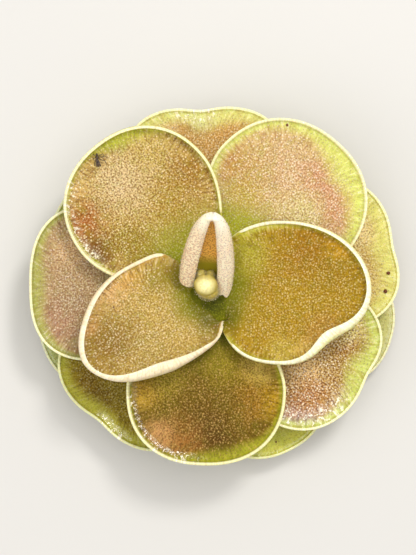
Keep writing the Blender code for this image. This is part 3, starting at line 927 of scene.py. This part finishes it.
def youngFlesh():
    # a blade not yet green: cream and waxy, with light deep in it, and amber down in the slit, partly its own
    # colour and partly a painted glow of light through the blade
    material, add, shader = startMaterial("young cream leaf flesh")
    look, ranges = youngFinish, youngRanges
    place = add("Attribute", {}, "Vector", attribute_name="place")
    faceUp = add("Attribute", {}, "Fac", attribute_name="faceUp")
    rolled = add("Attribute", {}, "Fac", attribute_name="rolled")
    along = add("SeparateXYZ", {"Vector": place}, "X")
    swirl = add("TexNoise", {"Vector": place, "Scale": 1 / look["swirlLength"], "Detail": 3.0})
    mottle = add("TexNoise", {"Vector": place, "Scale": 1 / look["mottleLength"], "Detail": 1.0})
    blush = add("MapRange", {"Value": swirl, **ranges["blush"]}, **smooth)
    speck = add("MapRange", {"Value": mottle, **ranges["speck"]}, **smooth)
    tip = add("MapRange", {"Value": along, **ranges["tip"]}, **smooth)
    # painted light: the right scroll is paler
    right = add("MapRange", {"Value": along.node.outputs["Y"], **ranges["right"]})
    foot = add("MapRange", {"Value": along, **ranges["slitFoot"]})
    amberGlow = look["slit"]
    for share, over in ((speck, look["slitSpeck"]), (foot, look["slitFoot"])):
        amberGlow = add("Mix", {0: share, 6: amberGlow, 7: over}, 2, **inColor)
    inside = add("MapRange", {"Value": rolled, **ranges["slit"]})
    inside = add("Math", {0: inside, 1: faceUp}, operation="MULTIPLY")
    color = look["cream"]
    layers = [(blush, look["blush"]), (speck, look["speck"]), (tip, look["tip"]), (right, look["right"])]
    for share, over in layers + [(inside, amberGlow)]:
        color = add("Mix", {0: share, 6: color, 7: over}, 2, **inColor)
    setInputs(
        shader,
        {
            "Base Color": color,
            "Normal": add("Bump", {"Height": mottle, "Strength": 0.5, "Distance": look["relief"] * mm}),
            "Roughness": 0.42,
            "IOR": 1.4,
            "Subsurface Weight": 0.35,
            "Subsurface Radius": (1.0, 0.7, 0.4),
            "Subsurface Scale": look["scatterDepth"] * mm,
        },
    )
    return material


youngPiece = addPiece("young_leaf_scroll", youngMesh(), youngFlesh(), "young_flesh", "young_leaf")
print("young leaf made")


# Bud: the youngest leaf, curled like a fist over its own creased neck, with a fuzzy heel below.
budForm = {
    # middle, then half sizes
    "lumps": (
        ((-0.3, 0.3, 13.9), (1.58, 1.45, 1.4)),
        ((-0.84, 1.4, 12.7), (0.82, 1.0, 1.2)),
        ((0.24, 1.4, 12.65), (0.8, 1.0, 1.15)),
        ((0.1, -0.45, 12.7), (1.35, 1.2, 1.5)),
        ((-0.2, 0.2, 11.6), (1.0, 1.0, 1.6)),
    ),
    "voxel": 0.09,
    "smoothing": 4,
    "crease": 0.16,
    "rough": 0.1,
    "roughLength": 0.7,
    "creaseAt": -0.3,
    "creaseWidth": 0.2,
    "creaseEnds": (-0.2, 1.3),
    "creaseFrom": (12.5, 13.5),
}


def meltTogether(name, source, voxel, smoothing):
    # overlapping closed lumps become one skin
    carrier = linkObject(name, source)
    melt = carrier.modifiers.new("melt", "REMESH")
    melt.mode = "VOXEL"
    melt.voxel_size = voxel * mm
    evened = carrier.modifiers.new("evened", "SMOOTH")
    evened.iterations = smoothing
    evened.factor = 0.5
    mesh = plainMesh(carrier)
    mesh.name = name
    return mesh


def addLump(builder, middle, sizes, segments=32):
    made = bmesh.ops.create_uvsphere(builder, u_segments=segments, v_segments=segments * 3 // 4, radius=1.0)
    for vertex in made["verts"]:
        vertex.co = Vector([where + size * axis for where, size, axis in zip(middle, sizes, vertex.co)]) * mm
    return made["verts"]


def budMesh():
    form = budForm
    lumps = bmesh.new()
    for middle, sizes in form["lumps"]:
        addLump(lumps, middle, sizes)
    mesh = meltTogether("leaf_bud_head", meshFrom(lumps, "bud lumps"), form["voxel"], form["smoothing"])
    normals = [vertex.normal.copy() for vertex in mesh.vertices]
    for vertex, normal in zip(mesh.vertices, normals):
        spot = vertex.co / mm
        groove = hump(spot.x - form["creaseAt"], form["creaseWidth"])
        groove *= smoothStep(spot.y, *form["creaseEnds"]) * smoothStep(spot.z, *form["creaseFrom"])
        swell = form["rough"] * noise.noise(spot / form["roughLength"])
        vertex.co += normal * ((swell - form["crease"] * groove) * mm)
    mesh.update()
    return mesh


# bright at the crown of the head, olive on the neck and the heel
budFinish = {
    "olive": "#B6A23C",
    "bright": "#EEE4A4",
    "brightAt": (-0.35, 0.25, 15.2),
    "brightEnds": (1.9, 0.3),
    "neck": "#D4C364",
    "neckEnds": (0.9, 1.7),
    "neckStrength": 0.9,
    "shade": "#C2B070",
    "shadeRange": {"From Min": 0.45, "From Max": 0.7, "To Max": 0.5},
    "mottleLength": 0.2857,
    "relief": 0.08,
    "scatterDepth": 0.6,
}


def budFlesh():
    # soft fuzzy tissue: light goes deep into it, and its fine bumps break up the shine
    material, add, shader = startMaterial("pale bud flesh")
    look = budFinish
    spot = add("TexCoord", {}, "Object")
    mottle = add("TexNoise", {"Vector": spot, "Scale": 1 / (look["mottleLength"] * mm), "Detail": 2.0})
    middle = [axis * mm for axis in look["brightAt"]]
    off = add("VectorMath", {0: spot, 1: middle}, "Value", operation="DISTANCE")
    start, full = [end * mm for end in look["brightEnds"]]
    bright = add("MapRange", {"Value": off, "From Min": start, "From Max": full}, **smooth)
    across = add("SeparateXYZ", {"Vector": spot}, "Y")
    start, full = [end * mm for end in look["neckEnds"]]
    reach = {"From Min": start, "From Max": full, "To Max": look["neckStrength"]}
    neck = add("MapRange", {"Value": across, **reach}, **smooth)
    shade = add("MapRange", {"Value": mottle, **look["shadeRange"]})
    color = look["olive"]
    for share, over in ((bright, look["bright"]), (neck, look["neck"]), (shade, look["shade"])):
        color = add("Mix", {0: share, 6: color, 7: over}, 2, **inColor)
    setInputs(
        shader,
        {
            "Base Color": color,
            "Normal": add("Bump", {"Height": mottle, "Strength": 0.7, "Distance": look["relief"] * mm}),
            "Roughness": 0.5,
            "Subsurface Weight": 0.4,
            "Subsurface Radius": (1.0, 0.8, 0.4),
            "Subsurface Scale": look["scatterDepth"] * mm,
        },
    )
    return material


budPiece = addPiece("leaf_bud_head", budMesh(), budFlesh(), "young_flesh", "leaf_bud")
print("bud made")


# Dew on stalked glands: clear sticky drops, pale against the flesh, each on a short reddish stalk.
# for each leaf. The three dictionaries below change some of it on the bud, the young leaf and the throat
glandForm = {
    "stalkRadius": 0.02,
    "sizes": (0.75, 1.3),  # times the size given
    "lean": 0.25,  # radians, as the twist is
    "twist": 3.0,
    "dewMottle": 3.846,
    "stalkMottle": 5.556,
    "spacing": 0.33,
    "oldSpacing": 0.5,
    "firstWide": 9,  # from this leaf on they stand further apart
    "stalk": 0.2,
    "drop": 0.062,
    "seed": 11,
    "clear": (0.5, 1.1),  # none on the margin itself
    "atCrown": 0.3,
    "crownEnds": (4.0, 9.0),
}
fuzzForm = {"spacing": 0.17, "stalk": 0.24, "drop": 0.045, "seed": 31, "bare": (13.6, 14.6)}
creamForm = {"spacing": 0.3, "stalk": 0.08, "drop": 0.05, "seed": 32}
hollowForm = {"spacing": 0.7, "stalk": 0.3, "drop": 0.045, "seed": 33}
glandInputs = {
    "Blade": "Geometry",
    "Spacing": "Float",
    "Density": "Float",
    "Stalk": "Float",
    "Stalk Radius": "Float",
    "Drop": "Float",
    "Seed": "Int",
    "Stalk Material": "Material",
    "Drop Material": "Material",
}


def glandTree():
    tree = bpy.data.node_groups.new("stalked glands", "GeometryNodeTree")
    for title, kind in glandInputs.items():
        tree.interface.new_socket(title, in_out="INPUT", socket_type="NodeSocket" + kind)
    tree.interface.new_socket("Glands", in_out="OUTPUT", socket_type="NodeSocketGeometry")
    given = addNode(tree, "NodeGroupInput", {}, None).outputs
    kind = "GeometryNodeInputNamedAttribute"
    cover = addNode(tree, kind, {"Name": "glandCover"}, "Attribute", data_type="FLOAT")
    spots = {
        "Mesh": given["Blade"],
        "Distance Min": given["Spacing"],
        "Density Max": given["Density"],
        "Density Factor": cover,
        "Seed": given["Seed"],
    }
    kind = "GeometryNodeDistributePointsOnFaces"
    points = addNode(tree, kind, spots, "Points", distribute_method="POISSON")
    least, most = glandForm["sizes"]
    sizes = {2: least, 3: most, "Seed": given["Seed"]}
    size = addNode(tree, "FunctionNodeRandomValue", sizes, 1, data_type="FLOAT")
    lean, twist = glandForm["lean"], glandForm["twist"]
    tilts = {0: (-lean, -lean, 0.0), 1: (lean, lean, twist), "Seed": given["Seed"]}
    tilt = addNode(tree, "FunctionNodeRandomValue", tilts, data_type="FLOAT_VECTOR")
    turn = {"Rotation": points.node.outputs["Rotation"], "Rotate By": tilt}
    leaning = addNode(tree, "FunctionNodeRotateRotation", turn, rotation_space="LOCAL")
    stem = {
        "Vertices": 3,
        "Radius Top": given["Stalk Radius"],
        "Radius Bottom": given["Stalk Radius"],
        "Depth": given["Stalk"],
    }
    cone = addNode(tree, "GeometryNodeMeshCone", stem, "Mesh", fill_type="NONE")
    ball = addNode(tree, "GeometryNodeMeshIcoSphere", {"Radius": given["Drop"], "Subdivisions": 1}, "Mesh")
    lift = addNode(tree, "CombineXYZ", {"Z": given["Stalk"]})
    raised = addNode(tree, "GeometryNodeTransform", {"Geometry": ball, "Translation": lift})
    both = addNode(tree, "GeometryNodeJoinGeometry", {}, None)
    for shape, finish in ((cone, given["Stalk Material"]), (raised, given["Drop Material"])):
        stood = {"Points": points, "Instance": shape, "Rotation": leaning, "Scale": size}
        copies = addNode(tree, "GeometryNodeInstanceOnPoints", stood)
        solid = addNode(tree, "GeometryNodeRealizeInstances", {"Geometry": copies})
        branch = addNode(tree, "GeometryNodeSetMaterial", {"Geometry": solid, "Material": finish})
        tree.links.new(branch, both.inputs[0])
    addNode(tree, "NodeGroupOutput", {"Glands": both.outputs[0]}, None)
    return tree


# a mottle of two colours: glassy dew, stalks, glossy insect shell and dry grit
def mottledMaterial(name, first, second, length, ends, finish):
    material, add, shader = startMaterial(name)
    spot = add("TexCoord", {}, "Object")
    patch = add("TexNoise", {"Vector": spot, "Scale": 1 / (length * mm), "Detail": 2.0})
    if ends:
        patch = add("MapRange", {"Value": patch, "From Min": ends[0], "From Max": ends[1]})
    color = add("Mix", {0: patch, 6: first, 7: second}, 2, **inColor)
    setInputs(shader, {"Base Color": color, **finish})
    return material


def dewMaterial(name, pale, face):
    # sticky mucilage: clear, with the flesh's colours in it
    wet = {"Roughness": 0.12, "IOR": 1.35, "Transmission Weight": 0.5}
    return mottledMaterial(name, pale, face, glandForm["dewMottle"], None, wet)


def addGlands(name, piece, covers, slotName, form, stalkFinish, dropFinish):
    # covers: how thickly the glands stand at each point of the piece
    piece.data.attributes.new("glandCover", "FLOAT", "POINT").data.foreach_set("value", covers)
    settings = {
        "Spacing": form["spacing"] * mm,
        "Density": 1.0e6 / form["spacing"] / form["spacing"],
        "Stalk": form["stalk"] * mm,
        "Stalk Radius": glandForm["stalkRadius"] * mm,
        "Drop": form["drop"] * mm,
        "Seed": form["seed"],
        "Stalk Material": stalkFinish,
        "Drop Material": dropFinish,
    }
    made = bakeTree(name, piece.data, glandTreeMade, settings)
    addPiece(name, made, None, slotName)
    return len(made.polygons)


def noted(piece, title):
    return [item.value for item in piece.data.attributes[title].data]


glandTreeMade = glandTree()
silky, length = {"Roughness": 0.4}, glandForm["stalkMottle"]
stalk = mottledMaterial("reddish gland stalk", "#A86A44", "#C79A5A", length, None, silky)
total = 0
for number, piece in enumerate(leafPieces, 1):
    covers = []
    for gap, side, vertex in zip(noted(piece, "rimGap"), noted(piece, "faceUp"), piece.data.vertices):
        out = math.hypot(vertex.co.x, vertex.co.y) / mm
        least = glandForm["atCrown"]
        cover = least + (1 - least) * smoothStep(out, *glandForm["crownEnds"])
        covers.append((side == 1.0) * smoothStep(gap, *glandForm["clear"]) * cover)
    form = {**glandForm, "seed": glandForm["seed"] + number}
    if number >= glandForm["firstWide"]:
        form["spacing"] = glandForm["oldSpacing"]
    look = leafLooks[number - 1]
    dew = dewMaterial(f"clear sticky dew {number:02d}", look["pale"], look["face"])
    slotName = "leaf_flesh" if number < firstOld else "old_leaf_flesh"
    total += addGlands(f"leaf_{number:02d}_dew", piece, covers, slotName, form, stalk, dew)
covers = [1 - smoothStep(vertex.co.z / mm, *fuzzForm["bare"]) for vertex in budPiece.data.vertices]
dew = dewMaterial("pale bud dew", "#FBF4D2", "#CCBC80")
total += addGlands("leaf_bud_fuzz", budPiece, covers, "young_flesh", fuzzForm, dew, dew)
covers = [1.0 if side == 0.0 else 0.0 for side in noted(youngPiece, "faceUp")]
dew = dewMaterial("cream leaf dew", "#FFF8E6", "#F2DEBA")
total += addGlands("young_leaf_dew", youngPiece, covers, "young_flesh", creamForm, dew, dew)
covers = [1.0 if side == 1.0 else 0.0 for side in noted(throatPiece, "faceUp")]
dew = dewMaterial("throat dew", "#C6C664", "#8E8C28")
total += addGlands("green_throat_dew", throatPiece, covers, "leaf_flesh", hollowForm, stalk, dew)
print("glands made:", total, "faces")


# Crown and roots: a corky brown rootstock with pale wiry roots, green where it is young.
rootForm = {
    "count": 13,
    "radius": 0.42,
    "taper": 0.25,
    "length": (7.0, 14.0),
    "lift": 0.12,
    "start": 1.4,
    "startHeight": 0.9,
    "scatter": 0.25,
    "bend": 0.5,
    "wiggle": 0.12,
    "waves": 7.0,
    "steps": 26,
    "sides": 10,
    "seed": 7,
    "voxel": 0.13,
    "smoothing": 3,
    "rough": 0.07,
    "roughLength": 0.7,
    "roughFrom": (0.05, 0.6),  # the flat foot stays smooth
    "startFade": 0.4,
    "stemSides": 48,
}


def joinRings(builder, rings):
    for lower, upper in zip(rings, rings[1:]):
        for side in range(len(lower)):
            following = (side + 1) % len(lower)
            builder.faces.new((lower[side], lower[following], upper[following], upper[side]))


def addTube(builder, route, radii, sides):
    # a tube along a route, closed by a point at each end
    rings = []
    for step, (spot, radius) in enumerate(zip(route, radii)):
        ahead = (route[min(step + 1, len(route) - 1)] - route[max(step - 1, 0)]).normalized()
        aside = ahead.cross(Vector((0, 0, 1))).normalized()
        up = aside.cross(ahead)
        ring = []
        for side in range(sides):
            angle = math.tau * side / sides
            around = aside * math.cos(angle) + up * math.sin(angle)
            ring.append(builder.verts.new((spot + around * radius) * mm))
        rings.append(ring)
    joinRings(builder, rings)
    for ring, beyond in ((rings[0], route[0] * 2 - route[1]), (rings[-1], route[-1] * 2 - route[-2])):
        middle = (beyond + route[0 if ring is rings[0] else -1]) / 2
        tip = builder.verts.new(middle * mm)
        for side in range(sides):
            corners = (ring[side], ring[(side + 1) % sides], tip)
            builder.faces.new(corners if ring is rings[-1] else tuple(reversed(corners)))


def crownMesh():
    form = rootForm
    solid = bmesh.new()
    sides = form["stemSides"]
    rings = []
    for height, radius in crownProfile[:-1]:
        ring = []
        for side in range(sides):
            angle = math.tau * side / sides
            spot = (radius * math.cos(angle) * mm, radius * math.sin(angle) * mm, height * mm)
            ring.append(solid.verts.new(spot))
        rings.append(ring)
    joinRings(solid, rings)
    foot, top = solid.verts.new((0, 0, 0)), solid.verts.new((0, 0, crownProfile[-1][0] * mm))
    for side in range(sides):
        following = (side + 1) % sides
        solid.faces.new((rings[0][following], rings[0][side], foot))
        solid.faces.new((rings[-1][side], rings[-1][following], top))
    draw = random.Random(form["seed"])
    for number in range(form["count"]):
        direction = math.tau * (number + draw.uniform(-form["scatter"], form["scatter"])) / form["count"]
        length = draw.uniform(*form["length"])
        bend = draw.uniform(-form["bend"], form["bend"])
        route, radii = [], []
        for step in range(form["steps"] + 1):
            share = step / form["steps"]
            reach = form["start"] + (length - form["start"]) * share
            wiggle = form["wiggle"] * math.sin(form["waves"] * share + number)
            heading = direction + bend * share * share + wiggle
            rise = form["startHeight"] * (1 - smoothStep(share, 0.0, form["startFade"]))
            height = form["radius"] + form["lift"] + rise
            route.append(Vector((reach * math.cos(heading), reach * math.sin(heading), height)))
            radii.append(form["radius"] * (1 - form["taper"] * share))
        addTube(solid, route, radii, form["sides"])
    rough = meshFrom(solid, "crown and threads")
    mesh = meltTogether("crown_with_roots", rough, form["voxel"], form["smoothing"])
    normals = [vertex.normal.copy() for vertex in mesh.vertices]
    for vertex, normal in zip(mesh.vertices, normals):
        spot = vertex.co / mm
        bark = form["rough"] * noise.noise(spot / form["roughLength"])
        bark *= smoothStep(spot.z, *form["roughFrom"])
        vertex.co += normal * (bark * mm)
        vertex.co.z = max(vertex.co.z, 0.0)
    mesh.update()
    return mesh


crownFinish = {
    "bark": ("#4A3620", "#A98C5E"),
    "young": "#6F7C1C",
    "youngEnds": (5.0, 9.0),
    "grainLength": 0.7143,
    "relief": 0.12,
}


def crownFlesh():
    # cork: rough and dry, green where the stem is young
    material, add, shader = startMaterial("corky rootstock")
    look = crownFinish
    spot = add("TexCoord", {}, "Object")
    grain = add("TexNoise", {"Vector": spot, "Scale": 1 / (look["grainLength"] * mm), "Detail": 4.0})
    height = add("SeparateXYZ", {"Vector": spot}, "Z")
    start, full = [end * mm for end in look["youngEnds"]]
    young = add("MapRange", {"Value": height, "From Min": start, "From Max": full}, **smooth)
    dark, light = look["bark"]
    bark = add("Mix", {0: grain, 6: dark, 7: light}, 2, **inColor)
    color = add("Mix", {0: young, 6: bark, 7: look["young"]}, 2, **inColor)
    bump = add("Bump", {"Height": grain, "Strength": 0.6, "Distance": look["relief"] * mm})
    setInputs(shader, {"Base Color": color, "Normal": bump, "Roughness": 0.7})
    return material


addPiece("crown_with_roots", crownMesh(), crownFlesh(), "crown_stem", "crown")
print("crown made")


# Gnat: a small dark midge stuck to the third leaf, and a few crumbs of grit.
gnatForm = {
    "spot": (-14.6, 16.9),
    "heading": 97.0,
    "lumps": (
        ((0.0, -0.4, 0.3), (0.17, 0.62, 0.17)),
        ((0.02, 0.36, 0.36), (0.2, 0.28, 0.24)),
        ((0.03, 0.72, 0.32), (0.15, 0.14, 0.14)),
    ),
    "wings": (
        ((0.16, -0.35, 0.5), (0.13, 0.62, 0.02), 0.3),
        ((-0.12, -0.35, 0.48), (0.12, 0.6, 0.02), -0.12),
    ),
    # hip, then knee, then how far forward the toe is
    "legs": (
        (0.12, 0.5, 0.8, 0.75, 0.35),
        (0.15, 0.35, 1.1, 0.4, 0.05),
        (0.12, 0.2, 0.95, -0.25, -0.75),
        (-0.12, 0.5, -0.45, 0.8, 1.05),
        (-0.15, 0.35, -0.5, 0.3, 0.1),
        (-0.12, 0.2, -0.45, -0.4, -0.9),
    ),
    "wingTilt": 0.25,  # wings turn in radians
    "legRadius": 0.045,
    "legHeights": (0.3, 0.6, 0.25, 0.03),  # hip, knee, ankle and toe
    "kneeIn": 0.6,
    "toeOut": 1.15,
    "footing": 0.8,  # its slope is the leaf's over this far each way
}
# x, y and size
crumbSpots = ((24.3, -0.6, 0.3), (24.7, 1.9, 0.25), (9.4, -21.4, 0.2), (10.6, 21.7, 0.2), (-12.4, -2.6, 0.16))
crumbForm = {"sizes": (0.5, 1.1), "seed": 5, "lumps": 6, "lumpDepth": 0.05}
overAll = 30.0


def topAt(x, y):
    return heightBelow(Vector((x, y, overAll)), leafFaces, overAll)


def gnatMesh():
    form = gnatForm
    solid = bmesh.new()
    for middle, sizes in form["lumps"]:
        addLump(solid, middle, sizes, 16)
    for middle, sizes, turn in form["wings"]:
        wing = addLump(solid, middle, sizes, 12)
        turned = Matrix.Rotation(turn, 3, "Z") @ Matrix.Rotation(form["wingTilt"], 3, "Y")
        bmesh.ops.rotate(solid, cent=Vector(middle) * mm, matrix=turned, verts=wing)
    hip, knee, ankle, toe = form["legHeights"]
    for startX, startY, kneeX, kneeY, footY in form["legs"]:
        route = [
            Vector((startX, startY, hip)),
            Vector((kneeX * form["kneeIn"], (startY + kneeY) / 2, knee)),
            Vector((kneeX, kneeY, ankle)),
            Vector((kneeX * form["toeOut"], footY, toe)),
        ]
        addTube(solid, route, [form["legRadius"]] * len(route), 4)
    x, y = form["spot"]
    ahead = math.radians(form["heading"])
    reach = Vector((math.cos(ahead), math.sin(ahead), 0)) * form["footing"]
    rise = topAt(x + reach.x, y + reach.y) - topAt(x - reach.x, y - reach.y)
    tilt = Matrix.Rotation(math.atan2(rise, 2 * form["footing"]), 4, "X")
    turned = Matrix.Rotation(ahead - math.pi / 2, 4, "Z")
    placing = Matrix.Translation(Vector((x, y, topAt(x, y))) * mm) @ turned @ tilt
    bmesh.ops.transform(solid, matrix=placing, verts=solid.verts)
    return meshFrom(solid, "stuck_gnat")


def crumbMesh():
    form = crumbForm
    draw = random.Random(form["seed"])
    solid = bmesh.new()
    for x, y, size in crumbSpots:
        sizes = [size * draw.uniform(*form["sizes"]) for _ in range(3)]
        addLump(solid, (x, y, topAt(x, y) + sizes[2] * 0.5), sizes, 12)
    noise.seed_set(form["seed"])  # else the lumps follow the clock
    for vertex in solid.verts:
        vertex.co += noise.noise_vector(vertex.co / mm * form["lumps"]) * form["lumpDepth"] * mm
    return meshFrom(solid, "grit_crumbs")


darkEnds = (0.35, 0.7)
glossy, dull = {"Roughness": 0.35}, {"Roughness": 0.8}
shell = mottledMaterial("dark insect shell", "#1E1610", "#6A5238", 0.3, darkEnds, glossy)
grit = mottledMaterial("brown grit", "#4A2410", "#8A4A20", 0.15, darkEnds, dull)
addPiece("stuck_gnat", gnatMesh(), shell, "crown_stem")
addPiece("grit_crumbs", crumbMesh(), grit, "crown_stem")
print("gnat and crumbs made")


# Studio: a plain pale floor, a soft sky and three softboxes, the smallest of them at the upper right.
# Floor and softboxes are in metres, the camera's place in millimetres.
studio = {
    "floorSize": 1.2,
    "floor": "#CFCBC4",
    "sky": "#F4F6FA",
    "skyStrength": 0.66,
    # place, size and power of each softbox
    "key": ((0.09, 0.15, 0.3), 0.06, 0.48),
    "overhead": ((0.03, 0.05, 0.36), 0.28, 0.62),
    "fill": ((-0.2, -0.1, 0.26), 0.3, 0.28),
    "cameraHeight": 208.0,
    "cameraShift": 1.29,
    "lens": 95.4,
}


def addStudio():
    floor = bpy.data.meshes.new("floor")
    half = studio["floorSize"] / 2
    corners = [(-half, -half, 0), (half, -half, 0), (half, half, 0), (-half, half, 0)]
    floor.from_pydata(corners, [], [(0, 1, 2, 3)])
    plane = linkObject("floor", floor)
    material, _, shader = startMaterial("matt pale board")
    setInputs(shader, {"Base Color": studio["floor"], "Roughness": 0.9})
    floor.materials.append(material)

    world = bpy.data.worlds.new("soft sky")
    world.use_nodes = True
    sky = {"Color": studio["sky"], "Strength": studio["skyStrength"]}
    setInputs(world.node_tree.nodes["Background"], sky)
    bpy.context.scene.world = world

    for name in ("key", "overhead", "fill"):
        place, size, power = studio[name]
        lamp = bpy.data.lights.new(name, "AREA")
        lamp.size = size
        lamp.energy = power
        light = linkObject(name, lamp)
        light.location = place
        light.rotation_euler = Vector(place).to_track_quat("Z", "Y").to_euler()

    lens = bpy.data.cameras.new("camera")
    lens.lens = studio["lens"]
    lens.clip_start = 0.01
    lens.clip_end = 10.0
    camera = linkObject("camera", lens)
    camera.location = (0.0, studio["cameraShift"] * mm, studio["cameraHeight"] * mm)
    bpy.context.scene.camera = camera
    bpy.context.scene.view_settings.view_transform = "Standard"


addStudio()
print("studio set")
